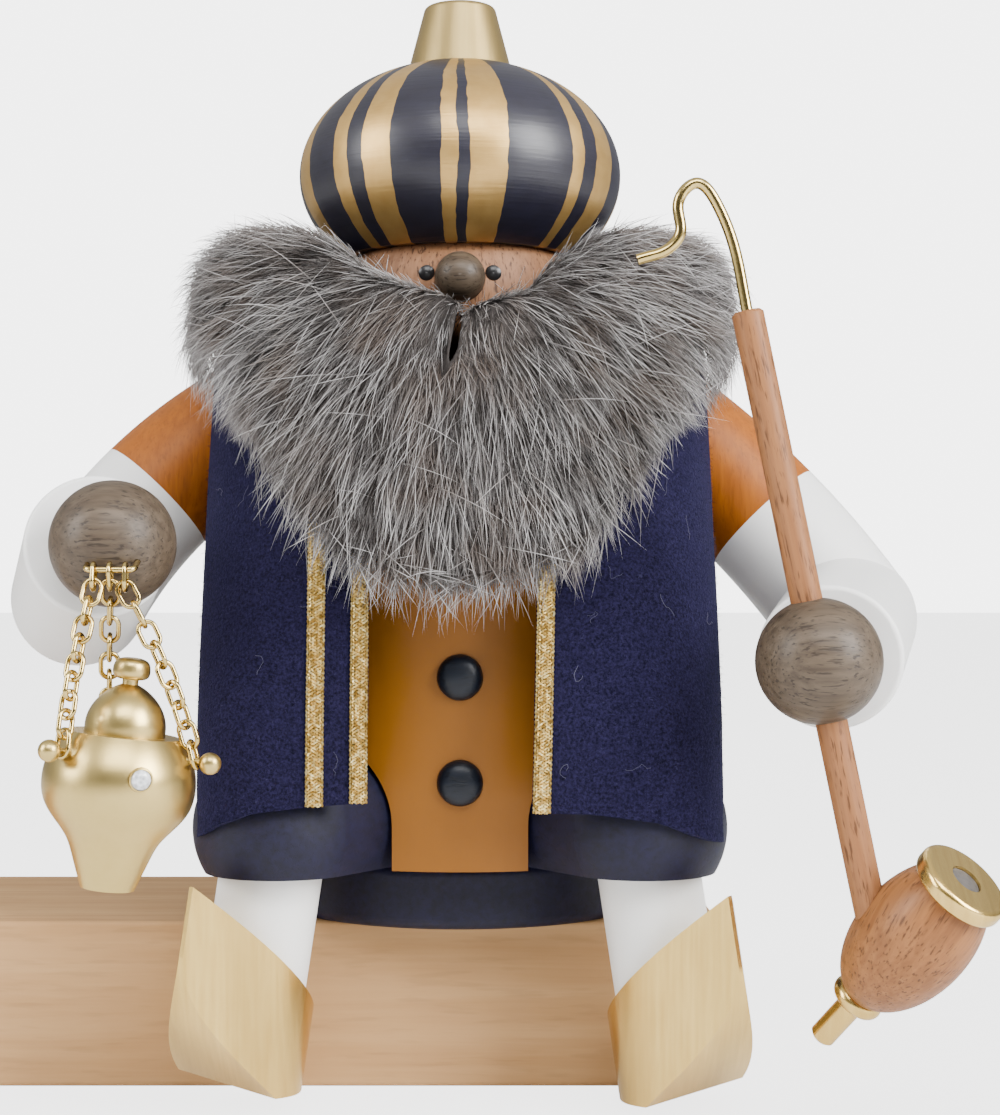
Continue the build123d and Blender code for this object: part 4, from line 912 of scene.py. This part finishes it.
def beyond_trim(places):
    """How far places lie outside the trim line."""
    across, up = from_the_front(places)[:2]
    reach = np.interp(np.arctan2(up, across), TRIM_TURNS, TRIM_REACH, period=FULL_TURN)
    return np.hypot(across, up) - reach


def parting(height):
    """Where the fur parts under the nose, at a height."""
    share = share_of(height, MOUTH_BOTTOM[1], MOUTH_TOP[1] - MOUTH_BOTTOM[1])
    return between(share, MOUTH_BOTTOM[0], MOUTH_TOP[0])


def vertex_places(mesh):
    """A mesh's points, in millimetres."""
    places = np.zeros(len(mesh.vertices) * 3)
    mesh.vertices.foreach_get("co", places)
    return places.reshape(-1, 3) / MM


def unit_rows(vectors):
    return vectors / np.maximum(np.linalg.norm(vectors, axis=-1, keepdims=True), 1e-9)


def facing_of(places, normals):
    """How squarely normals point away from the figure's upright axis."""
    return (normals * unit_rows(places * (1, 1, 0))).sum(axis=1)


def make_undercoat():
    """The skin and wool under the hairs: the beard's solid, drawn in, trimmed and roughened."""
    core = add_object("beard_undercoat", nodes["beard"].data.copy())
    remesh = core.modifiers.new("remesh", "REMESH")
    remesh.mode = "VOXEL"
    remesh.voxel_size = CORE_VOXEL * MM
    core.modifiers.new("ease", "SMOOTH").iterations = 6
    settle(core)
    mesh = core.data
    places = vertex_places(mesh)
    normals = np.array([vertex.normal for vertex in mesh.vertices])
    facing = np.clip(facing_of(places, normals), 0, 1)
    lumps = np.array([sum(noise.noise(Vector(p) * fineness) * height for fineness, height in LUMPS)
                      for p in places])
    places -= normals * (CORE_DEPTH * facing + 0.3 - lumps * facing)[:, None]
    across, up, nearer = from_the_front(places)
    reach = np.hypot(across, up)
    spare = CORE_SPARE + TIP_SPARE * share_of(up, 0, -20)
    share = 1 - np.clip(beyond_trim(places) + spare, 0, None) / np.maximum(reach, 1)
    places[:, 0] *= share
    places[:, 2] = EYE[1] + (TRIM_MIDDLE[1] + up * share - EYE[1]) / nearer
    round_reach = np.hypot(places[:, 0], places[:, 1])
    low = (places[:, 2] < CLEARED_BELOW) & (facing > 0.2) & (round_reach < SHOULDER_CLEARANCE)
    push = np.where(low, SHOULDER_CLEARANCE / np.maximum(round_reach, 1), 1)
    places[:, :2] *= push[:, None]
    middle = parting(places[:, 2])
    off = places[:, 0] - middle
    close = (1 - eased(np.abs(off), *CLOSE_ACROSS)) * (places[:, 1] < -15)
    close *= eased(places[:, 2], *CLOSE_FOOT) * (1 - eased(places[:, 2], *CLOSE_HEAD))
    places[:, 0] = middle + off * (1 - CLOSING * close)
    mesh.vertices.foreach_set("co", (places * MM).ravel())
    mesh.polygons.foreach_set("use_smooth", [True] * len(mesh.polygons))
    mesh.update()
    return core


def surface_triangles(piece):
    """Corners of a mesh's triangles, in millimetres, with each one's normal and area."""
    mesh = piece.data
    mesh.calc_loop_triangles()
    numbers = np.zeros(len(mesh.loop_triangles) * 3, np.int32)
    mesh.loop_triangles.foreach_get("vertices", numbers)
    corners = vertex_places(mesh)[numbers].reshape(-1, 3, 3)
    crossed = np.cross(corners[:, 1] - corners[:, 0], corners[:, 2] - corners[:, 0])
    return corners, unit_rows(crossed), np.linalg.norm(crossed, axis=1) / 2


def pick_roots(surface, count, rng):
    """Places on the fur's outer side, spread by area, with the normal there."""
    corners, normals, areas = surface
    middles = corners.mean(axis=1)
    top = (normals[:, 2] > 0.25) & (middles[:, 2] > TOP_ROOTS)
    end = (normals[:, 1] > 0.3) & (middles[:, 1] > END_ROOTS)
    low = (normals[:, 2] < -0.3) & (np.hypot(middles[:, 0], middles[:, 1]) > RIM_ROOTS)
    facing = facing_of(middles, normals)
    weights = areas * np.clip(facing * 1.3 - 0.1 + 0.9 * top + 0.7 * low + end, 0, 1)
    chosen = rng.choice(len(corners), size=count, p=weights / weights.sum())
    first, second = rng.random(count), rng.random(count)
    folded = first + second > 1
    first[folded], second[folded] = 1 - first[folded], 1 - second[folded]
    a, b, c = corners[chosen, 0], corners[chosen, 1], corners[chosen, 2]
    places = a + (b - a) * first[:, None] + (c - a) * second[:, None]
    return places, normals[chosen]


def combed(places, normals):
    """Which way the fur is combed at each place: away from the nose, and down where it hangs."""
    away = unit_rows(places - np.array(COMB_MIDDLE))
    hanging = share_of(np.abs(places[:, 0]), *HANG_ACROSS) * share_of(places[:, 2], *HANG_BELOW)
    down = 0.18 + 1.5 * hanging - 0.1 * share_of(places[:, 2], 88, 8)
    flow = away + np.array((0, 0, -1.0)) * down[:, None]
    flow -= normals * (flow * normals).sum(axis=1)[:, None]
    return unit_rows(flow)


def nearest_lock(places, locks):
    """Number of the lock whose middle is nearest each place."""
    found = np.zeros(len(places), np.int64)
    for start in range(0, len(places), AT_ONCE):
        part = places[start:start + AT_ONCE]
        gaps = ((part[:, None, :] - locks[None, :, :]) ** 2).sum(axis=2)
        found[start:start + AT_ONCE] = gaps.argmin(axis=1)
    return found


def hair_lines(places, normals, lengths, lifts, locks, rng, tangle, gather, rings):
    """Bent centre lines of hairs, drawn together into locks towards their tips."""
    count = len(places)
    lock_places, lock_normals, lock_bends = locks
    own = combed(places, normals)
    lock = nearest_lock(places, lock_places)
    shared = combed(lock_places, lock_normals)[lock] + lock_bends[lock]
    way = unit_rows(own * 0.6 + shared * 0.5 + rng.normal(0, tangle, (count, 3)))
    steps = np.linspace(0, 1, rings)
    curl = rng.normal(0, 0.1, (count, 3))
    lines = np.zeros((count, rings, 3))
    spot = places.copy()
    lines[:, 0] = spot
    for ring in range(1, rings):
        share = steps[ring]
        rise = lifts[:, None] * (1.25 - share)
        heading = unit_rows(way + normals * rise + curl * share
                            + np.array((0, 0, -0.2)) * share**2)
        spot = spot + heading * (lengths / (rings - 1))[:, None]
        lines[:, ring] = spot
    offset = places - lock_places[lock]
    pull = gather * steps**1.6
    lines -= offset[:, None, :] * pull[None, :, None]
    return lines


def trimmed(lines, spare):
    """Shortens hairs where they pass the trim line; says which stay."""
    count, rings = lines.shape[:2]
    rows = np.arange(count)[:, None]

    def along(shares):
        at = shares * (rings - 1)
        lower = np.minimum(at.astype(int), rings - 2)
        part = (at - lower)[..., None]
        return lines[rows, lower] * (1 - part) + lines[rows, lower + 1] * part

    probes = np.linspace(0, 1, PROBES)
    outside = beyond_trim(along(np.tile(probes, (count, 1)))) > spare[:, None]
    kept = np.where(outside.any(axis=1), probes[np.maximum(outside.argmax(axis=1) - 1, 0)], 1.0)
    return along(kept[:, None] * np.linspace(0, 1, rings)[None]), kept > SHORTEST_KEPT


def hair_points(lines, width):
    """Rings of points round each hair, tapered to its root and its tip."""
    steps = np.linspace(0, 1, lines.shape[1])
    along = unit_rows(np.gradient(lines, axis=1))
    side = unit_rows(np.cross(along, np.array((0.3, -0.9, 0.3))))
    other = np.cross(along, side)
    taper = (0.55 + 0.6 * np.sin(np.pi * np.clip(steps + 0.15, 0, 1))) * (1 - steps**3) + 0.03
    turns = FULL_TURN * np.arange(HAIR_SIDES)[:, None] / HAIR_SIDES
    outward = side[:, :, None] * np.cos(turns) + other[:, :, None] * np.sin(turns)
    return (lines[:, :, None] + (width * taper)[:, None, None] * outward).reshape(-1, 3)


def hair_mesh(name, lines, width, shades):
    """Three-sided hairs as one mesh; each point knows its place along its hair and its shade."""
    count, rings = lines.shape[:2]
    points = hair_points(lines, width) * MM
    per_hair = rings * HAIR_SIDES
    quads = []
    stitch(quads, 0, rings, HAIR_SIDES)
    starts = np.arange(count)[:, None, None] * per_hair
    quads = (np.array(quads)[None] + starts).reshape(-1, 4)
    caps = []
    close_ends(caps, 0, rings, HAIR_SIDES)
    caps = (np.array(caps)[None] + starts).reshape(-1, 3)
    mesh = bpy.data.meshes.new(name)
    mesh.vertices.add(len(points))
    mesh.vertices.foreach_set("co", points.ravel())
    corners = np.concatenate([quads.ravel(), caps.ravel()])
    sizes = np.concatenate([np.full(len(quads), 4), np.full(len(caps), 3)])
    mesh.loops.add(len(corners))
    mesh.loops.foreach_set("vertex_index", corners.astype(np.int32))
    mesh.polygons.add(len(sizes))
    loop_starts = np.concatenate([[0], np.cumsum(sizes)[:-1]])
    mesh.polygons.foreach_set("loop_start", loop_starts.astype(np.int32))
    mesh.polygons.foreach_set("use_smooth", np.ones(len(sizes), bool))
    run = np.repeat(np.linspace(0, 1, rings), HAIR_SIDES)
    for label, values in (("hair_run", np.tile(run, count)),
                          ("hair_shade", np.repeat(shades, per_hair))):
        layer = mesh.attributes.new(label, "FLOAT", "POINT")
        layer.data.foreach_set("value", values.astype(np.float32))
    mesh.update()
    mesh.validate()
    return add_object(name, mesh)


def over_mouth(lines):
    """Hairs that would cross the small open mouth or the parting above it."""
    off = np.abs(lines[..., 0] - parting(lines[..., 2]))
    height = lines[..., 2] - MOUTH_BOTTOM[1]
    mouth = (off < MOUTH_HALF) & (height > -1) & (height < MOUTH_RISE)
    part = (off < PARTING_HALF) & (height >= MOUTH_RISE) & (lines[..., 2] < MOUTH_TOP[1])
    return ((mouth | part) & (lines[..., 1] < -20)).any(axis=1)


# Each kind of hair: pieces, hairs in each, rings, shortest, longest, half width, tangle, gathering,
# shades, spare beyond the trim line
FUR_KINDS = (
    (("beard_down_1", "beard_down_2", "beard_down_3", "beard_down_4"),
     9000, 4, 3.5, 6.5, 0.045, 0.16, 0.3, (0.0, 0.3), (-1.8, 1.2)),
    (("beard_guard_hairs_1", "beard_guard_hairs_2"),
     3900, 6, 7.0, 13.0, 0.06, 0.22, 0.4, (0.25, 1.0), (-2.0, 3.2)),
    (("beard_stray_hairs",), 420, 7, 9.0, 17.0, 0.058, 0.75, 0.0, (0.9, 1.2), (-1.0, 4.0)),
)


def grow_hairs(name, kind, surface, locks, rng):
    """One piece of hairs, longer and lower where the fur hangs, paler behind."""
    count, rings, short, long, width, tangle, gather, pale, spare = kind
    places, normals = pick_roots(surface, count, rng)
    side = np.clip(np.hypot(places[:, 0], places[:, 1] * 0.4) / 40, 0, 1)
    high = share_of(places[:, 2], 84, 14)
    lifts = rng.uniform(0.08, 0.3, count) + 0.3 * high * side**2
    near = np.clip(np.hypot(places[:, 0], places[:, 2] - COMB_MIDDLE[2]) / 16, 0.45, 1)
    hanging = share_of(np.abs(places[:, 0]), *LONG_ACROSS) * share_of(places[:, 2], *LONG_BELOW)
    lengths = rng.uniform(short, long, count) * near * (1 + 1.6 * hanging)
    lines = hair_lines(places, normals, lengths, lifts, locks, rng, tangle, gather, rings)
    lines, keep = trimmed(lines, rng.uniform(*spare, count))
    keep &= ~over_mouth(lines)
    shades = rng.uniform(*pale, count) ** 1.3 + 0.4 * share_of(places[:, 1], 2, 9)
    dress(hair_mesh(name, lines[keep], width, shades[keep]), hair, "fur")


def make_beard():
    rng = np.random.default_rng(FUR_SEED)
    core = make_undercoat()
    surface = surface_triangles(core)
    locks = (*pick_roots(surface, LOCKS, rng), rng.normal(0, 0.2, (LOCKS, 3)))
    for names, *kind in FUR_KINDS:
        for name in names:
            grow_hairs(name, kind, surface, locks, rng)
    dress(core, fur_ground(), "fur", "beard")


hair = fur_hair()
make_beard()


# Fibres that stand off the felt, and lint that has caught on it
NAP_SEED = 21
NAP_FIBRES = 11000
NAP_HALF = 0.022
NAP_LENGTHS = (0.35, 0.9)
LINT_STRANDS = 55
LINT_POINTS = 9
LINT_SIDES = 5
LINT_RADIUS = 0.026
LINT_STEP = 0.45
LINT_TURN = 1.25
LINT_HEIGHTS = (20, 66)
BETWEEN_EDGES = (-12.5, 12.0)


def make_nap(rng):
    corners, normals, areas = surface_triangles(coat)
    weights = areas * np.clip(facing_of(corners.mean(axis=1), normals) - 0.2, 0, 1)
    chosen = rng.choice(len(corners), size=NAP_FIBRES, p=weights / weights.sum())
    shares = rng.dirichlet((1, 1, 1), NAP_FIBRES)
    places = (corners[chosen] * shares[:, :, None]).sum(axis=1)
    heading = unit_rows(rng.normal(0, 1, (NAP_FIBRES, 3)) + normals[chosen] * 0.9)
    bend = rng.normal(0, 0.35, (NAP_FIBRES, 3))
    lengths = rng.uniform(*NAP_LENGTHS, NAP_FIBRES)[:, None]
    lines = np.stack([places, places + heading * lengths * 0.5,
                      places + unit_rows(heading + bend) * lengths], axis=1)
    dress(hair_mesh("coat_nap", lines, NAP_HALF, rng.random(NAP_FIBRES)), felt, "felt")


def make_lint(rng):
    points, faces = [], []
    for _ in range(LINT_STRANDS):
        turn, height = rng.uniform(-LINT_TURN, LINT_TURN), rng.uniform(*LINT_HEIGHTS)
        if BETWEEN_EDGES[0] < coat_reach(turn, height) * math.sin(turn) < BETWEEN_EDGES[1]:
            continue
        heading, path = rng.uniform(0, FULL_TURN), []
        for _ in range(LINT_POINTS):
            reach = coat_reach(turn, height) + 0.1 + rng.uniform(0, 0.15)
            path.append(Vector((math.sin(turn) * reach, -math.cos(turn) * reach, height)))
            heading += rng.normal(0, 0.7)
            turn += math.cos(heading) * LINT_STEP / reach
            height += math.sin(heading) * LINT_STEP
        radius = LINT_RADIUS * rng.uniform(0.6, 1)
        add_bar(points, faces, path, [radius] * LINT_POINTS, LINT_SIDES, FORWARDS)
    lint = new_piece("coat_lint", [p * MM for p in points], faces)
    dress(lint, pale_dust("lint_wool", 0.9, 0.1, 500.0, (0.04, 0.038, 0.065), (0.17, 0.165, 0.22)),
          "felt")


nap_rng = np.random.default_rng(NAP_SEED)
make_nap(nap_rng)
make_lint(nap_rng)


# The censer's stone: a brilliant cut in a round setting
STONE_TURN = math.radians(24)
VESSEL_RIM = Vector((-42.3, -61.5, 30.5))
STONE_DROP = 4.6
STONE_REACH = 9.2
STONE_RADIUS = 1.3
FACETS = 8
# The stone's rings: share of its radius, height, points and turn
STONE_RINGS = ((0.56, 1.05, FACETS, 0.0), (0.8, 0.85, FACETS, 0.5), (1.0, 0.5, 2 * FACETS, 0.0),
               (1.0, 0.35, 2 * FACETS, 0.0), (0.3, -0.2, FACETS, 0.0))
SETTING_RADIUS = 1.45
SETTING_SIDES = 40
# The setting's section: distance from its radius, and height
SETTING_ROWS = ((0.0, 0.0), (0.12, 0.35), (0.05, 0.62), (-0.12, 0.66), (-0.16, 0.4), (-0.16, 0.0))


def vessel_frame():
    """Place of the stone's seat and its outward direction, with two directions across it."""
    axis = Vector((math.sin(VESSEL_LEAN), 0, math.cos(VESSEL_LEAN)))
    right = Vector((math.cos(VESSEL_LEAN), 0, -math.sin(VESSEL_LEAN)))
    out = right * math.sin(STONE_TURN) + FORWARDS * math.cos(STONE_TURN)
    return VESSEL_RIM - axis * STONE_DROP + out * STONE_REACH, out, axis, out.cross(axis)


def stone_ring(radius, height, count, offset=0.0):
    seat, out, up, across = vessel_frame()
    turns = [FULL_TURN * (k + offset) / count for k in range(count)]
    return [(seat + across * (radius * math.cos(t)) + up * (radius * math.sin(t)) + out * height)
            * MM for t in turns]


def make_stone():
    points = []
    for share, height, count, offset in STONE_RINGS:
        points += stone_ring(STONE_RADIUS * share, height, count, offset)
    # Where the points of each ring start: the stars, the girdle's top and foot, and the tip
    star, girdle, foot, tip = FACETS, 2 * FACETS, 4 * FACETS, 6 * FACETS
    faces = [tuple(range(FACETS))]
    for k in range(FACETS):
        after = (k + 1) % FACETS
        here, middle, there = 2 * k, 2 * k + 1, (2 * k + 2) % (2 * FACETS)
        faces.append((k, star + k, after))
        faces.append((star + k, girdle + middle, girdle + there))
        faces.append((star + k, girdle + here, girdle + middle))
        faces.append((after, star + k, girdle + there, star + after))
        faces.append((foot + here, tip + k, tip + after, foot + there))
        faces.append((foot + here, foot + there, foot + middle))
    for k in range(2 * FACETS):
        after = (k + 1) % (2 * FACETS)
        faces.append((girdle + k, foot + k, foot + after, girdle + after))
    faces.append(tuple(reversed(range(tip, tip + FACETS))))
    stone = new_piece("cut_stone", points, faces, smooth=False)
    face_outwards(stone)
    dress(stone, cut_crystal(), "crystal", "censer_stone", body="censer")


def make_setting():
    points, faces = [], []
    for proud, height in SETTING_ROWS:
        points += stone_ring(SETTING_RADIUS + proud, height, SETTING_SIDES)
    for i in range(len(SETTING_ROWS)):
        row, below = i * SETTING_SIDES, (i + 1) % len(SETTING_ROWS) * SETTING_SIDES
        for k in range(SETTING_SIDES):
            after = (k + 1) % SETTING_SIDES
            faces.append((row + k, row + after, below + after, below + k))
    setting = new_piece("stone_setting", points, faces)
    face_outwards(setting)
    sharpen(setting, 45)
    dress(setting, brass, "brass", body="censer")


make_stone()
make_setting()

# The plain ledge that the figure sits on, and the floor
LEDGE = ((-400.0, -19.0, -SEAT_DROP / MM), (38.0, 28.0, -0.05))
LEDGE_FACES = ((0, 2, 3, 1), (4, 5, 7, 6), (0, 1, 5, 4), (1, 3, 7, 5), (3, 2, 6, 7), (2, 0, 4, 6))
LEDGE_ROUND = 0.6
FLOOR_HALF = 4
FLOOR_COLOUR = (0.90, 0.90, 0.90)
FLOOR_GLOW = 4.5
GLOW_SHARE = 0.7
WALL_GLOW = 5.0


def lit_floor():
    """Pale paint that the camera sees nearly as white as the wall behind."""
    made = pale_dust("floor_paint", 0.7, 0.2, 6.0, FLOOR_COLOUR, scaled(FLOOR_COLOUR, 0.97))
    tree = made.node_tree
    glow = put(tree, "ShaderNodeEmission", {"Strength": FLOOR_GLOW})
    seen = put(tree, "ShaderNodeLightPath").outputs["Is Camera Ray"]
    both = put(tree, "ShaderNodeMixShader", {0: times(tree, seen, GLOW_SHARE), 2: glow.outputs[0],
                                             1: tree.nodes["Principled BSDF"].outputs[0]})
    feed(tree, tree.nodes["Material Output"].inputs["Surface"], both.outputs[0])
    return made


def make_stage():
    low, high = LEDGE
    corners = [Vector((x, y, z)) * MM for z in (low[2], high[2]) for y in (low[1], high[1])
               for x in (low[0], high[0])]
    ledge = new_piece("ledge", corners, LEDGE_FACES, smooth=False)
    edge = ledge.modifiers.new("edge", "BEVEL")
    edge.width = LEDGE_ROUND * MM
    edge.segments = 3
    ledge.data.materials.append(stained_wood("ledge_pine", (0.38, 0.205, 0.08), (0.50, 0.30, 0.135),
                                             turn=(0, QUARTER, 0), roughness=(0.6, 0.75),
                                             grain=0.15, coat=0.0, fineness=0.35))
    grid = bmesh.new()
    bmesh.ops.create_grid(grid, x_segments=2, y_segments=2, size=FLOOR_HALF)
    floor = add_object("floor", bpy.data.meshes.new("floor"))
    grid.to_mesh(floor.data)
    grid.free()
    floor.location.z = -SEAT_DROP
    floor.data.materials.append(lit_floor())


make_stage()


# Studio light and camera
AIM = Vector((0.0, -0.02, 0.055))


def softbox(name, place, size, power):
    light = bpy.data.lights.new(name, "AREA")
    light.shape = "RECTANGLE"
    light.size, light.size_y = size
    light.energy = power
    holder = add_object(name, light)
    holder.location = place
    holder.rotation_euler = (AIM - Vector(place)).to_track_quat("-Z", "Y").to_euler()


softbox("key_light", (0.62, -0.45, 0.42), (0.4, 0.5), 16.0)
softbox("fill_light", (-0.68, -0.32, 0.38), (0.3, 0.5), 6.5)
softbox("front_light", (0.05, -0.62, 0.70), (0.6, 0.35), 7.0)


def studio_walls():
    """Even white behind the object; for its light and reflections, a brighter sky than ground."""
    world = bpy.data.worlds.new("studio")
    world.use_nodes = True
    tree = world.node_tree
    axes = axes_of(tree, put(tree, "ShaderNodeTexCoord").outputs["Generated"])
    shade = ramp(tree, spread(tree, axes["Z"], -1.0),
                 ((0.0, (0.2, 0.2, 0.2)), (0.48, (0.26, 0.26, 0.26)),
                  (0.75, (0.62, 0.62, 0.62)), (1.0, (0.95, 0.95, 0.95))))
    front = spread(tree, axes["Y"], -0.95, -0.5, 0.12)
    room = tree.nodes["Background"]
    feed(tree, room.inputs["Color"], mix_colour(tree, front, (0.03, 0.03, 0.03), shade))
    room.inputs["Strength"].default_value = 1.0
    behind = put(tree, "ShaderNodeBackground", {"Color": (1, 1, 1), "Strength": WALL_GLOW})
    seen = put(tree, "ShaderNodeLightPath").outputs["Is Camera Ray"]
    both = put(tree, "ShaderNodeMixShader", {0: seen, 1: room.outputs[0], 2: behind.outputs[0]})
    feed(tree, tree.nodes["World Output"].inputs["Surface"], both.outputs[0])
    bpy.context.scene.world = world


studio_walls()

lens = bpy.data.cameras.new("camera")
lens.lens = LENS
lens.sensor_width = SENSOR
lens.sensor_fit = "AUTO"
lens.shift_x, lens.shift_y = SHIFT
camera = add_object("camera", lens)
camera.location = (0, -EYE_DISTANCE, EYE_HEIGHT)
camera.rotation_euler = (QUARTER, 0, 0)
bpy.context.scene.camera = camera
